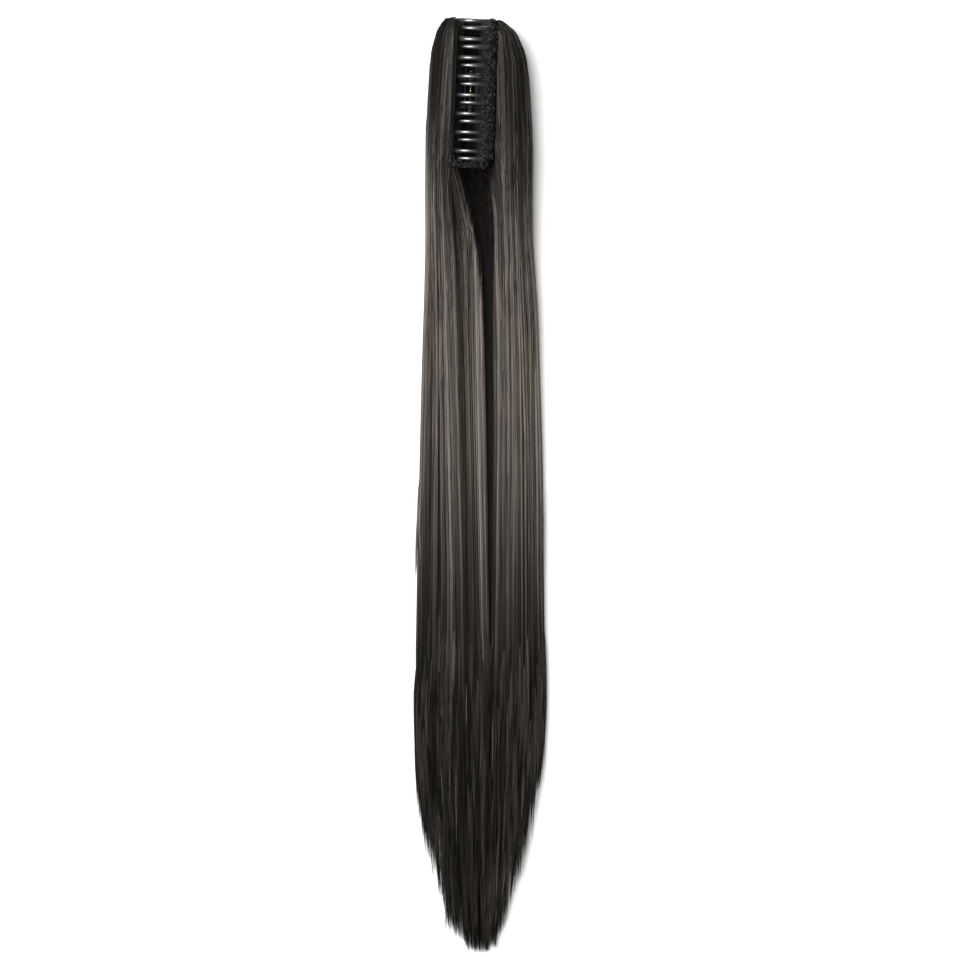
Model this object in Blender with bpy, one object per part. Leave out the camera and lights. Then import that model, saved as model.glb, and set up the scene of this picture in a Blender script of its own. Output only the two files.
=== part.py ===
# Ponytail hairpiece on a spring claw clip, lying on its back with the teeth of the clip up.
# Metres, +Z up. +Y points to the top of the hairpiece and the tail runs towards -Y. The shapes are worked
# out from the middle of the clip, at table height, and one empty then sets the origin under the middle
# of the hairpiece. The clip's hinge runs along Y, and angles on a jaw are counted from its crown.

import math

import bmesh
import bpy
import numpy as np
from mathutils import Matrix, Vector

# Clip: two equal jaws on one pin. A jaw's wall and teeth follow an ellipse round the space for the hair.
JAW_LENGTH = 0.094
JAW_HALF_WIDTH = 0.0145  # of the ellipse, at the middle of the wall
JAW_HALF_HEIGHT = 0.0133
WALL = 0.0018
WALL_TOP_DEG = 50
WALL_END_DEG = 158
TOOTH_COUNT = 8
TOOTH_WIDTH = 0.0032
TOOTH_THICKNESS = 0.0022
TOOTH_TIP_SHARE = 0.66  # width and thickness near the tip, as a share of those at the root
TOOTH_ROOT_DEG = 62
TOOTH_PAST_CROWN_DEG = 31
TOOTH_END_MARGIN = 0.0022  # from the jaw's end to the middle of its first tooth
TOOTH_STAGGER = 0.0049  # from a tooth of one jaw to the next tooth of the other

# Hinge, levers and spring
KNUCKLE_RADIUS = 0.0032
KNUCKLE_LENGTH = 0.0029
SPRING_ROOM = 0.0122  # along the pin, between the inner knuckles
PIN_RADIUS = 0.0009
PIN_HEAD_RADIUS = 0.0015
PIN_HEAD_LENGTH = 0.0008
PIN_CLEARANCE = 0.0003
LEVER_REACH = 0.017  # from the pin's axis to the lever's end
LEVER_HALF_WIDTH = 0.015
LEVER_THICKNESS = 0.002
LEVER_SPREAD_DEG = 42  # of each lever, from straight down
WIRE_RADIUS = 0.0004
SPRING_TURNS = 5
SPRING_LEG = 0.007

# Net that covers the jaws, and the crocheted hem across its lower end
NET = 0.0012
NET_TOP_DEG = 44
NET_END_DEG = 150
NET_OVERHANG = 0.0005
HEM_WIDTH = 0.0032
HEM_LEFT_DEG = 75
HEM_RIGHT_DEG = 42

GAP = 0.0003  # between pieces that touch
HINGE_ROOM = 0.0028  # round the knuckles, where no hair is
BACK_GAP_DEG = 22  # of each half of the hair behind the hinge, where the levers come together

# Hair
HAIR_UNDER_LEVERS = 0.009
HAIR_BESIDE_CLIP = 0.0236  # the thickness that the shares beside the clip are of
TAIL_LENGTH = 0.5125  # from the clip's lower end to the tip
TAIL_HALF_WIDTH = 0.044
TAIL_THICKNESS = 0.0205
TAIL_SHIFT = 0.0067  # of the tail's middle line, from the middle of the clip
TAIL_DRIFT_DEG = 2.09  # by which the tail turns off the clip's line
GROOVE_DEPTH = 0.0016  # of the furrow between two locks
TIP_LOCK_LENGTH = 0.105
TIP_LOCK_WIDTH = 0.0125
TIP_LOCK_THICKNESS = 0.0085

HINGE_Z = HAIR_UNDER_LEVERS + LEVER_REACH * math.cos(math.radians(LEVER_SPREAD_DEG))
ELLIPSE_Z = HINGE_Z + JAW_HALF_HEIGHT
TOOTH_FIRST = JAW_LENGTH / 2 - TOOTH_END_MARGIN
TOOTH_PITCH = (2 * TOOTH_FIRST - TOOTH_STAGGER) / (TOOTH_COUNT - 1)
NET_MIDDLE = TOOTH_THICKNESS / 2 + GAP + NET / 2  # out from the ellipse
CLIP_SPACE = NET_MIDDLE + NET / 2 + GAP
CLIP_TOP = ELLIPSE_Z + JAW_HALF_HEIGHT + CLIP_SPACE
SPLIT_Y = -(JAW_LENGTH / 2 + NET_OVERHANG + GAP / 2)  # below it nothing moves with the right jaw
HEM_END = SPLIT_Y - GAP / 2 - HEM_WIDTH
SPRING_RADIUS = LEVER_THICKNESS / 2 + GAP + WIRE_RADIUS

# Hair beside the clip, from the top end down. along: share of half the jaw's length. outer and crown:
# shares of HAIR_BESIDE_CLIP beyond the net. top, side and low: shares of the clip's height, at the crown,
# at the widest place and at the underside. flank: form of the inner flank, 1 for straight, 2 for round.
BESIDE = ("along", "outer", "crown", "top", "side", "low", "flank")
LEFT_BESIDE = (
    (1.013, -0.08, -0.20, 0.860, 0.59, 0.38, 2.0),
    (0.980, 0.08, -0.17, 0.945, 0.53, 0.18, 2.1),
    (0.900, 0.22, -0.10, 0.985, 0.47, 0.06, 2.2),
    (0.720, 0.32, -0.04, 1.015, 0.43, 0.0, 2.2),
    (0.460, 0.40, -0.02, 1.020, 0.39, 0.0, 2.2),
    (0.000, 0.43, 0.00, 1.020, 0.37, 0.0, 2.2),
    (-0.55, 0.45, 0.00, 1.005, 0.36, 0.0, 2.2),
    (-1.00, 0.43, 0.00, 0.970, 0.35, 0.0, 2.0),
)
RIGHT_BESIDE = (
    (1.000, 0.03, -0.12, 0.830, 0.62, 0.42, 1.8),
    (0.965, 0.17, -0.04, 0.880, 0.56, 0.26, 1.6),
    (0.880, 0.40, 0.11, 0.900, 0.50, 0.11, 1.45),
    (0.720, 0.61, 0.21, 0.905, 0.45, 0.03, 1.40),
    (0.460, 0.82, 0.30, 0.905, 0.41, 0.0, 1.37),
    (0.000, 1.00, 0.35, 0.905, 0.39, 0.0, 1.37),
    (-0.55, 1.14, 0.38, 0.895, 0.37, 0.0, 1.37),
    (-1.00, 1.20, 0.41, 0.870, 0.35, 0.0, 1.30),
)

# Tail, down to the tip. along: share of TAIL_LENGTH. outer and crown: shares of its half width, away from
# its middle line. rise: how far its crown stands above the tail's thickness, as a share of the way to the
# clip's height. thick: share of its thickness. flank: as beside the clip.
TAIL = ("along", "outer", "crown", "rise", "thick", "flank")
LEFT_TAIL = (
    (0.023, 0.825, 0.590, 0.820, 1.00, 1.05),
    (0.059, 0.827, 0.570, 0.650, 1.00, 1.00),
    (0.105, 0.820, 0.540, 0.470, 1.00, 1.05),
    (0.181, 0.840, 0.500, 0.240, 1.00, 1.30),
    (0.279, 0.868, 0.455, 0.090, 1.00, 1.65),
    (0.400, 0.888, 0.420, 0.025, 1.00, 2.0),
    (0.531, 0.918, 0.410, 0.0, 0.99, 2.2),
    (0.656, 0.940, 0.410, 0.0, 0.95, 2.2),
    (0.738, 0.880, 0.395, 0.0, 0.86, 2.2),
    (0.817, 0.745, 0.340, 0.0, 0.73, 2.2),
    (0.885, 0.595, 0.270, 0.0, 0.60, 2.2),
    (0.938, 0.430, 0.190, 0.0, 0.48, 2.2),
    (0.969, 0.260, 0.105, 0.0, 0.35, 2.2),
    (0.985, 0.110, 0.025, 0.0, 0.23, 2.2),
)
RIGHT_TAIL = (
    (0.023, 0.840, 0.440, 0.760, 1.00, 1.25),
    (0.059, 0.825, 0.440, 0.600, 1.00, 1.20),
    (0.105, 0.827, 0.450, 0.410, 1.00, 1.30),
    (0.181, 0.860, 0.475, 0.200, 1.00, 1.60),
    (0.279, 0.876, 0.500, 0.070, 0.99, 1.90),
    (0.400, 0.915, 0.520, 0.015, 0.97, 2.1),
    (0.531, 0.930, 0.530, 0.0, 0.95, 2.2),
    (0.656, 0.930, 0.530, 0.0, 0.90, 2.2),
    (0.738, 0.815, 0.485, 0.0, 0.80, 2.2),
    (0.817, 0.690, 0.420, 0.0, 0.68, 2.2),
    (0.885, 0.530, 0.340, 0.0, 0.56, 2.2),
    (0.938, 0.355, 0.250, 0.0, 0.44, 2.2),
    (0.969, 0.245, 0.195, 0.0, 0.31, 2.2),
)

# Where the two halves of the tail meet. across: share of its half width, right of its middle line.
PARTING = ("along", "across")
PARTING_ROWS = (
    (0.000, -0.050),
    (0.023, 0.020),
    (0.060, 0.070),
    (0.181, 0.122),
    (0.279, 0.135),
    (0.400, 0.139),
    (1.000, 0.139),
)

# Locks that end along the tail's tapered edges. across: share of the tail's half width, at the tip.
# along: share of TAIL_LENGTH, at the tip. size: share of the tip lock's width and thickness.
TIP_LOCKS = ("across", "along", "size")
LEFT_TIPS = (
    (0.985, 0.686, 1.0),
    (0.905, 0.787, 1.0),
    (0.745, 0.860, 1.0),
    (0.570, 0.926, 0.9),
    (0.350, 0.973, 0.8),
    (0.040, 1.000, 0.8),
)
RIGHT_TIPS = (
    (0.965, 0.681, 1.0),
    (0.835, 0.776, 1.0),
    (0.680, 0.852, 1.0),
    (0.505, 0.910, 0.9),
    (0.370, 0.962, 0.6),
    (0.265, 0.987, 0.45),
)

UPPER_POINTS = 28  # of a section's ring, over its top
LOWER_POINTS = 10
LEFT_LOCK_COUNT = 7
RIGHT_LOCK_COUNT = 5
OUTER_FLANK = 2.3
UNDERSIDE = 3.2
FLAT_SHARE = 1.15  # how far the underside would go past the table, where it is cut flat
TAIL_SIDE_SHARE = 0.40  # height of the widest place, as a share of the section's height
TAIL_STATION = 0.021  # between two sections
BESIDE_STATION = 0.0085
FINE_BELOW_CLIP = 0.034
SECTION = ("y", "outer", "crown", "top", "side", "low", "flank")


def clear_scene():
    for obj in list(bpy.data.objects):
        bpy.data.objects.remove(obj)


def make_material(name, colour, roughness, metallic=0.0):
    material = bpy.data.materials.new(name)
    material.use_nodes = True
    shader = material.node_tree.nodes["Principled BSDF"]
    shader.inputs["Base Color"].default_value = (*colour, 1)
    shader.inputs["Roughness"].default_value = roughness
    shader.inputs["Metallic"].default_value = metallic
    material.diffuse_color = (*colour, 1)
    return material


def add_object(name, points, faces, material=None):
    mesh = bpy.data.meshes.new(name)
    mesh.from_pydata([tuple(p) for p in points], [], faces)
    shape = bmesh.new()
    shape.from_mesh(mesh)
    bmesh.ops.recalc_face_normals(shape, faces=shape.faces)
    shape.to_mesh(mesh)
    shape.free()
    if material:
        mesh.materials.append(material)
    obj = bpy.data.objects.new(name, mesh)
    bpy.context.scene.collection.objects.link(obj)
    return obj


def lofted(name, rings, material=None):
    """A closed solid through rings of equally many points, with a cap on each end."""
    rings = np.asarray(rings, float)
    count, size, _ = rings.shape
    faces = [tuple(range(size))[::-1]]
    for ring in range(count - 1):
        for k in range(size):
            a, b = ring * size + k, ring * size + (k + 1) % size
            faces.append((a, b, b + size, a + size))
    faces.append(tuple(range((count - 1) * size, count * size)))
    return add_object(name, rings.reshape(-1, 3), faces, material)


def boxed(name, low, high):
    x, y, z = zip(low, high)
    rings = [[(x[0], v, z[0]), (x[1], v, z[0]), (x[1], v, z[1]), (x[0], v, z[1])] for v in y]
    return lofted(name, rings)


def turned(name, profile, sides=14, material=None):
    """A body turned about Y, through (y, radius) pairs."""
    turns = [2 * math.pi * k / sides for k in range(sides)]
    rings = [[(r * math.cos(t), y, r * math.sin(t)) for t in turns] for y, r in profile]
    return lofted(name, rings, material)


def combine(obj, operation, others):
    """Joins or cuts obj by the other objects for good, and removes them."""
    group = bpy.data.collections.new("operands")
    for other in others:
        group.objects.link(other)
    modifier = obj.modifiers.new(operation.lower(), "BOOLEAN")
    modifier.operation = operation
    modifier.operand_type = "COLLECTION"
    modifier.collection = group
    modifier.solver = "EXACT"
    graph = bpy.context.evaluated_depsgraph_get()
    result = bpy.data.meshes.new_from_object(obj.evaluated_get(graph))
    obj.modifiers.clear()
    obj.data = result
    for other in others:
        bpy.data.objects.remove(other)
    bpy.data.collections.remove(group)


def on_ellipse(angle_deg, out=0.0):
    """Point of the left jaw's ellipse, seen from the pin's axis."""
    angle = math.radians(angle_deg)
    x = -(JAW_HALF_WIDTH + out) * math.sin(angle)
    z = JAW_HALF_HEIGHT + (JAW_HALF_HEIGHT + out) * math.cos(angle)
    return x, z


def arc_plate(name, start_deg, end_deg, middle, thickness, y0, y1, material):
    """A plate that follows the ellipse, middle being its distance out from the ellipse."""
    rings = []
    steps = 12
    for k in range(steps + 1):
        angle = start_deg + (end_deg - start_deg) * k / steps
        xi, zi = on_ellipse(angle, middle - thickness / 2)
        xo, zo = on_ellipse(angle, middle + thickness / 2)
        rings.append([(xi, y0, zi), (xo, y0, zo), (xo, y1, zo), (xi, y1, zi)])
    return lofted(name, rings, material)


def tooth(index):
    """A tooth bends over the crown along the ellipse, thinner towards a round tip."""
    y = TOOTH_FIRST - index * TOOTH_PITCH
    sides = 8
    shares = (0, 0.22, 0.44, 0.66, 0.86, 0.96, 1)
    blunt = (1, 1, 1, 1, 1, 0.82, 0.4)
    rings = []
    for share, width in zip(shares, blunt):
        angle = TOOTH_ROOT_DEG - (TOOTH_ROOT_DEG + TOOTH_PAST_CROWN_DEG) * share
        size = width * (1 - (1 - TOOTH_TIP_SHARE) * share ** 2)
        ring = []
        for s in range(sides):
            turn = 2 * math.pi * (s + 0.5) / sides
            x, z = on_ellipse(angle, TOOTH_THICKNESS / 2 * size * math.sin(turn))
            ring.append((x, y + TOOTH_WIDTH / 2 * size * math.cos(turn), z))
        rings.append(ring)
    return lofted(f"tooth_{index}", rings)


def lever_bar(name, start, end, y0, y1, thickness, side=-1):
    """A flat bar that runs out from the pin's axis in the direction of a lever."""
    obj = boxed(name, (-thickness / 2, y0, -end), (thickness / 2, y1, -start))
    obj.data.transform(Matrix.Rotation(-side * math.radians(LEVER_SPREAD_DEG), 4, "Y"))
    return obj


def wall_arm(name, y0, y1):
    """The short bar from a knuckle to the lower edge of the wall."""
    x, z = on_ellipse(WALL_END_DEG - 4)
    obj = boxed(name, (-math.hypot(x, z), y0, -WALL / 2), (0, y1, WALL / 2))
    obj.data.transform(Matrix.Rotation(math.atan2(z, -x), 4, "Y"))
    return obj


def make_jaw(name, material):
    """The left jaw, about the pin's axis. Turned half round about Z it is the right one."""
    half = JAW_LENGTH / 2
    jaw = arc_plate(name, WALL_TOP_DEG, WALL_END_DEG, 0, WALL, -half, half, material)
    inner = SPRING_ROOM / 2
    outer = inner + KNUCKLE_LENGTH + GAP
    lever_start = KNUCKLE_RADIUS + 4 * GAP
    arm_end = lever_start + LEVER_THICKNESS
    wide = LEVER_HALF_WIDTH
    pieces = [tooth(k) for k in range(TOOTH_COUNT)]
    pieces.append(lever_bar("lever", lever_start, LEVER_REACH, -wide, wide, LEVER_THICKNESS))
    for start in (inner, -outer - KNUCKLE_LENGTH):
        end = start + KNUCKLE_LENGTH
        pieces.append(turned("knuckle", ((start, KNUCKLE_RADIUS), (end, KNUCKLE_RADIUS)), 16))
        pieces.append(wall_arm("wall_arm", start + GAP / 2, end - GAP / 2))
        pieces.append(lever_bar("arm", 0, arm_end, start + GAP / 2, end - GAP / 2, 0.8 * LEVER_THICKNESS))
    combine(jaw, "UNION", pieces)
    bore = PIN_RADIUS + PIN_CLEARANCE
    combine(jaw, "DIFFERENCE", [turned("bore", ((-half, bore), (half, bore)))])
    return jaw


def make_pin(material):
    shaft = SPRING_ROOM / 2 + 2 * (KNUCKLE_LENGTH + GAP)
    head = shaft + PIN_HEAD_LENGTH
    profile = ((-head, PIN_HEAD_RADIUS), (-shaft, PIN_HEAD_RADIUS), (-shaft, PIN_RADIUS))
    profile += tuple((-y, r) for y, r in reversed(profile))
    return turned("hinge_pin", profile, material=material)


def make_spring(material):
    """One wire: a leg along each lever, and a coil round the pin between them."""
    spread = math.radians(LEVER_SPREAD_DEG)
    start, end = -spread, math.pi + spread + 2 * math.pi * SPRING_TURNS
    half = SPRING_ROOM / 2 - WIRE_RADIUS - 3 * GAP
    steps = 11 * (SPRING_TURNS + 1)
    coil = []
    for k in range(steps + 1):
        share = k / steps
        turn = start + (end - start) * share
        coil.append(Vector((math.cos(turn), 0, math.sin(turn))) * SPRING_RADIUS)
        coil[-1].y = half * (1 - 2 * share)
    to_left = Vector((-math.sin(spread), 0, -math.cos(spread))) * SPRING_LEG
    to_right = Vector((math.sin(spread), 0, -math.cos(spread))) * SPRING_LEG
    route = [coil[0] + to_left, coil[0] + to_left / 2] + coil
    route += [coil[-1] + to_right / 2, coil[-1] + to_right]
    rings = []
    for k, point in enumerate(route):
        ahead = (route[min(k + 1, len(route) - 1)] - route[max(k - 1, 0)]).normalized()
        across = (Vector((0, 1, 0)) - ahead * ahead.y).normalized()
        other = ahead.cross(across)
        turns = [2 * math.pi * s / 6 for s in range(6)]
        ring = [point + (across * math.cos(t) + other * math.sin(t)) * WIRE_RADIUS for t in turns]
        rings.append([tuple(p) for p in ring])
    return lofted("spring", rings, material)


def smooth_columns(names, rows):
    """Reads a table's columns at any place, along a smooth curve that never overshoots a row."""
    table = np.array(rows, float)
    table = table[np.argsort(table[:, 0])]
    x, y = table[:, 0], table[:, 1:]
    rate = np.diff(y, axis=0) / np.diff(x)[:, None]
    same = rate[1:] * rate[:-1] > 0
    total = np.where(same, 1 / np.where(same, rate[1:], 1) + 1 / np.where(same, rate[:-1], 1), 1)
    slope = np.zeros_like(y)
    slope[1:-1] = np.where(same, 2 / total, 0)

    def read(place):
        place = min(max(place, x[0]), x[-1])
        k = min(int(np.searchsorted(x, place, side="right")) - 1, len(x) - 2)
        width = x[k + 1] - x[k]
        t = (place - x[k]) / width
        a, b = (1 + 2 * t) * (1 - t) ** 2, t * (1 - t) ** 2
        c, d = t * t * (3 - 2 * t), t * t * (t - 1)
        values = a * y[k] + b * width * slope[k] + c * y[k + 1] + d * width * slope[k + 1]
        return dict(zip(names[1:], values))

    return read


def tail_middle(y):
    return TAIL_SHIFT - y * math.tan(math.radians(TAIL_DRIFT_DEG))


def parting(y, read=smooth_columns(PARTING, PARTING_ROWS)):
    """Where the halves meet: behind the hinge beside the clip, and then over to the tail's parting."""
    along = (-y - JAW_LENGTH / 2) / TAIL_LENGTH
    over = min(max((SPLIT_Y - y) / BESIDE_STATION, 0), 1)
    return over * (tail_middle(y) + read(along)["across"] * TAIL_HALF_WIDTH)


def section_rows(beside, tail, side):
    """Both tables as lengths, from the top end of the clip to the tip."""
    clip_half = JAW_HALF_WIDTH + CLIP_SPACE
    made = []
    for row in beside:
        r = dict(zip(BESIDE, row))
        outer, crown = (side * (clip_half + r[name] * HAIR_BESIDE_CLIP) for name in ("outer", "crown"))
        top, middle, low = (r[name] * CLIP_TOP for name in ("top", "side", "low"))
        made.append((r["along"] * JAW_LENGTH / 2, outer, crown, top, middle, low, r["flank"]))
    for row in tail:
        r = dict(zip(TAIL, row))
        y = -JAW_LENGTH / 2 - r["along"] * TAIL_LENGTH
        outer, crown = (tail_middle(y) + side * r[name] * TAIL_HALF_WIDTH for name in ("outer", "crown"))
        top = r["thick"] * TAIL_THICKNESS + r["rise"] * (CLIP_TOP - TAIL_THICKNESS)
        made.append((y, outer, crown, top, TAIL_SIDE_SHARE * top, 0.0, r["flank"]))
    return made


def hair_ring(section, y, side, lock_count):
    """A section of the hair: four quarters of a rounded form, with a furrow between two locks."""
    turns = [(math.pi * k / UPPER_POINTS, True) for k in range(UPPER_POINTS)]
    turns += [(math.pi * (1 + k / LOWER_POINTS), False) for k in range(LOWER_POINTS)]
    inner = parting(y) + side * GAP / 2
    wander = 0.8 * math.sin(y / 0.047) + 0.5 * math.sin(y / 0.019 + 1)  # the furrows lie a little off straight
    ring = []
    for turn, upper in turns:
        across, rise = math.cos(turn), math.sin(turn)
        towards = section["outer"] if across > 0 else inner
        flank = OUTER_FLANK if across > 0 else section["flank"]
        reach = section["top"] - section["side"]
        if not upper:
            flank = UNDERSIDE
            reach = FLAT_SHARE * (section["side"] - section["low"])
        x = (towards - section["crown"]) * abs(across) ** (2 / flank)
        z = reach * math.copysign(abs(rise) ** (2 / flank), rise)
        if upper:
            furrow = 0.5 - 0.5 * math.cos(2 * lock_count * turn + wander)
            depth = GROOVE_DEPTH * furrow * rise * min(1, section["top"] / TAIL_THICKNESS)
            keep = 1 - depth / max(math.hypot(x, z), GROOVE_DEPTH)
            x, z = x * keep, z * keep
        ring.append((section["crown"] + x, y, max(section["side"] + z, section["low"])))
    return ring


def stations(y_from, y_to):
    """Places of the sections, closer together beside the clip and just below it."""
    places = [y_from]
    if y_from > SPLIT_Y:
        places += [y_from - BESIDE_STATION / 7, y_from - BESIDE_STATION / 2.5]
        low = max(SPLIT_Y, y_to)
        steps = math.ceil((places[-1] - low) / BESIDE_STATION)
        places += list(np.linspace(places[-1], low, steps + 1)[1:])
    below = SPLIT_Y
    while below > y_to:
        below -= BESIDE_STATION if below > SPLIT_Y - FINE_BELOW_CLIP else TAIL_STATION
        places.append(below)
    places[-1] = y_to
    return places


def hair_form(name, rows, side, y_from, y_to, lock_count, material):
    read = smooth_columns(SECTION, rows)
    rings = [hair_ring(read(y), y, side, lock_count) for y in stations(y_from, y_to)]
    return lofted(name, rings, material)


def tip_lock(name, across, along, size, side):
    """A flat lock that leaves the tail's body and ends in a point of its own."""
    rings = []
    steps, sides = 6, 8
    for k in range(steps + 1):
        share = k / steps
        y = -JAW_LENGTH / 2 - along * TAIL_LENGTH + TIP_LOCK_LENGTH * (1 - share)
        inward = across * 0.22 * (1 - share) ** 1.5
        x = tail_middle(y) + side * (across - inward) * TAIL_HALF_WIDTH
        grow = size * max(math.sin(math.pi * (0.26 + 0.74 * share)), 0.06)
        half_width, half_height = grow * TIP_LOCK_WIDTH / 2, grow * TIP_LOCK_THICKNESS / 2
        turns = [2 * math.pi * (s + 0.25) / sides for s in range(sides)]
        z = GAP + half_height
        rings.append([(x + half_width * math.cos(t), y, z + half_height * math.sin(t)) for t in turns])
    return lofted(name, rings)


def clip_space():
    """The room that the clip, its net and the hem take in the hair."""
    wide, high = JAW_HALF_WIDTH + CLIP_SPACE, JAW_HALF_HEIGHT + CLIP_SPACE
    turns = [2 * math.pi * k / 32 for k in range(32)]
    ring = [(wide * math.cos(t), ELLIPSE_Z + high * math.sin(t)) for t in turns]
    return lofted("clip_space", [[(x, y, z) for x, z in ring] for y in (HEM_END - GAP, JAW_LENGTH)])


def hinge_space(side, y0):
    """The room behind the hinge in which the levers come together, round the knuckles and at one lever."""
    depth = 1.5 * HINGE_Z
    half = depth * math.tan(math.radians(BACK_GAP_DEG))
    low = HINGE_Z - depth
    wedge = [[(0, y, HINGE_Z), (-half, y, low), (half, y, low)] for y in (y0, JAW_LENGTH)]
    room = KNUCKLE_RADIUS + HINGE_ROOM
    wide = LEVER_HALF_WIDTH + GAP
    thick = LEVER_THICKNESS + 2 * GAP
    round_room = turned("round_room", ((y0, room), (JAW_LENGTH, room)), 16)
    pocket = lever_bar("pocket", 0, LEVER_REACH + GAP, -wide, wide, thick, side)
    leg_thick = 2 * (SPRING_RADIUS + WIRE_RADIUS + GAP)
    leg_wide = SPRING_ROOM / 2
    leg_room = lever_bar("leg_room", 0, SPRING_LEG + 3 * GAP, -leg_wide, leg_wide, leg_thick, side)
    for obj in (round_room, pocket, leg_room):
        obj.data.transform(Matrix.Translation((0, 0, HINGE_Z)))
    return [lofted("back_gap", wedge), round_room, pocket, leg_room]


def add_tip_locks(hair, rows, side):
    locks = []
    for row in rows:
        r = dict(zip(TIP_LOCKS, row))
        locks.append(tip_lock("tip_lock", r["across"], r["along"], r["size"], side))
    combine(hair, "UNION", locks)


def make_hair(material):
    """The left half in one solid, and the right half in two, as its top moves with the right jaw."""
    left_rows = section_rows(LEFT_BESIDE, LEFT_TAIL, -1)
    right_rows = section_rows(RIGHT_BESIDE, RIGHT_TAIL, 1)
    start, end = left_rows[0][0], left_rows[-1][0]
    left = hair_form("hair_left", left_rows, -1, start, end, LEFT_LOCK_COUNT, material)
    start, end = right_rows[0][0], right_rows[-1][0]
    top_end, tail_start = SPLIT_Y + GAP / 2, SPLIT_Y - GAP / 2
    top = hair_form("hair_right_top", right_rows, 1, start, top_end, RIGHT_LOCK_COUNT, material)
    tail = hair_form("hair_right_tail", right_rows, 1, tail_start, end, RIGHT_LOCK_COUNT, material)
    add_tip_locks(left, LEFT_TIPS, -1)
    add_tip_locks(tail, RIGHT_TIPS, 1)
    for hair, cuts in (
        (left, hinge_space(-1, SPLIT_Y) + [clip_space()]),
        (top, hinge_space(1, 2 * SPLIT_Y) + [clip_space()]),
        (tail, [clip_space()]),
    ):
        for cut in cuts:
            combine(hair, "DIFFERENCE", [cut])
    return left, top, tail


def make_net(name, start_deg, end_deg, y0, y1, material):
    return arc_plate(name, start_deg, end_deg, NET_MIDDLE, NET, y0, y1, material)


def empty(name, parent=None):
    obj = bpy.data.objects.new(name, None)
    bpy.context.scene.collection.objects.link(obj)
    obj.parent = parent
    return obj


def footprint_middle(objects):
    """Middle of the hair's length and width, seen from above."""
    points = np.array([v.co for obj in objects for v in obj.data.vertices])
    low, high = points.min(axis=0), points.max(axis=0)
    return (low + high) / 2


def main():
    clear_scene()
    plastic = make_material("clip_plastic", (0.012, 0.012, 0.014), 0.28)
    brass = make_material("spring_brass", (0.55, 0.45, 0.22), 0.35, 1.0)
    yarn = make_material("net_yarn", (0.016, 0.015, 0.018), 0.9)
    strands = make_material("hair_strands", (0.03, 0.026, 0.024), 0.45)

    hair_left, hair_right_top, hair_right_tail = make_hair(strands)
    middle = footprint_middle([hair_left, hair_right_top, hair_right_tail])
    base = empty("hairpiece")
    base.location = (-middle[0], -middle[1], 0)
    hinge = empty("hinge", base)
    hinge.location.z = HINGE_Z
    right_jaw = empty("right_jaw", hinge)  # turns about Y to open the clip
    hair_left.parent = base
    hair_right_tail.parent = base
    hair_right_top.parent = right_jaw
    hair_right_top.location.z = -HINGE_Z

    claw_left = make_jaw("claw_left", plastic)
    claw_left.parent = hinge
    claw_right = bpy.data.objects.new("claw_right", claw_left.data)
    bpy.context.scene.collection.objects.link(claw_right)
    half = JAW_LENGTH / 2 + NET_OVERHANG
    net_left = make_net("net_left", NET_TOP_DEG, NET_END_DEG, -half, half, yarn)
    net_left.parent = hinge
    net_right = make_net("net_right", NET_TOP_DEG, NET_END_DEG, -half, half, yarn)
    for obj in (claw_right, net_right):
        obj.parent = right_jaw
        obj.rotation_euler.z = math.pi
    hem = make_net("net_hem", HEM_LEFT_DEG, -HEM_RIGHT_DEG, HEM_END, SPLIT_Y - GAP / 2, yarn)
    for obj in (hem, make_pin(brass), make_spring(brass)):
        obj.parent = hinge

    bpy.context.view_layer.update()
    at = base.matrix_world.translation
    print(f"hinge axis at x {at.x:.5f} z {HINGE_Z:.5f}, clip's middle at y {at.y:.5f}, clip top z {CLIP_TOP:.5f}")


main()
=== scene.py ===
# Ponytail hairpiece on a spring claw clip, lying on its back: strands, net, yarn and clip on the frame.
# Shapes are worked out from the middle of the clip at table height, y up the clip, and then moved in place.

import math

import bpy
import numpy as np
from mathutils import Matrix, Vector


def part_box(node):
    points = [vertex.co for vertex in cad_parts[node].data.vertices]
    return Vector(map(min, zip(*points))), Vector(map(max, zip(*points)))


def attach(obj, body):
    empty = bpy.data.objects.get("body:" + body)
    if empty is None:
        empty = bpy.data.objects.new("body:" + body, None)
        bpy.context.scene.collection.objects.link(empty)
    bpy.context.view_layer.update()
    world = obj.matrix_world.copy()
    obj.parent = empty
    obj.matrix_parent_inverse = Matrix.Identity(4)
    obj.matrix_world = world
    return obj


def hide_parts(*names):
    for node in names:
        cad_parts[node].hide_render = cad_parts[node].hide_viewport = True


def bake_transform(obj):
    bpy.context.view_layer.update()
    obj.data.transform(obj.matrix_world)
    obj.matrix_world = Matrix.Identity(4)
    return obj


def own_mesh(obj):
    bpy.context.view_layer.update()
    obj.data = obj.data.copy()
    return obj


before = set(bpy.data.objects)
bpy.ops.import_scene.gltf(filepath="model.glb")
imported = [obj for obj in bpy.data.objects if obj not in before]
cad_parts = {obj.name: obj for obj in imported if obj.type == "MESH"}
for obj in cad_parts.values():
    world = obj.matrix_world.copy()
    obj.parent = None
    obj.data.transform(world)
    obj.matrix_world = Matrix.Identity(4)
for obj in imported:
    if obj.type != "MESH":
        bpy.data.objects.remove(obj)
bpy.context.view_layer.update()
pinLow, pinHigh = (np.array(corner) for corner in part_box("hinge_pin"))
pinMiddle = (pinLow + pinHigh) / 2
toTable = np.array((pinMiddle[0], pinMiddle[1], 0.0))  # from the clip's middle to its place on the table
hingeHeight = pinMiddle[2]
print("frame loaded, pin at", np.round(pinMiddle, 4))


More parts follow.
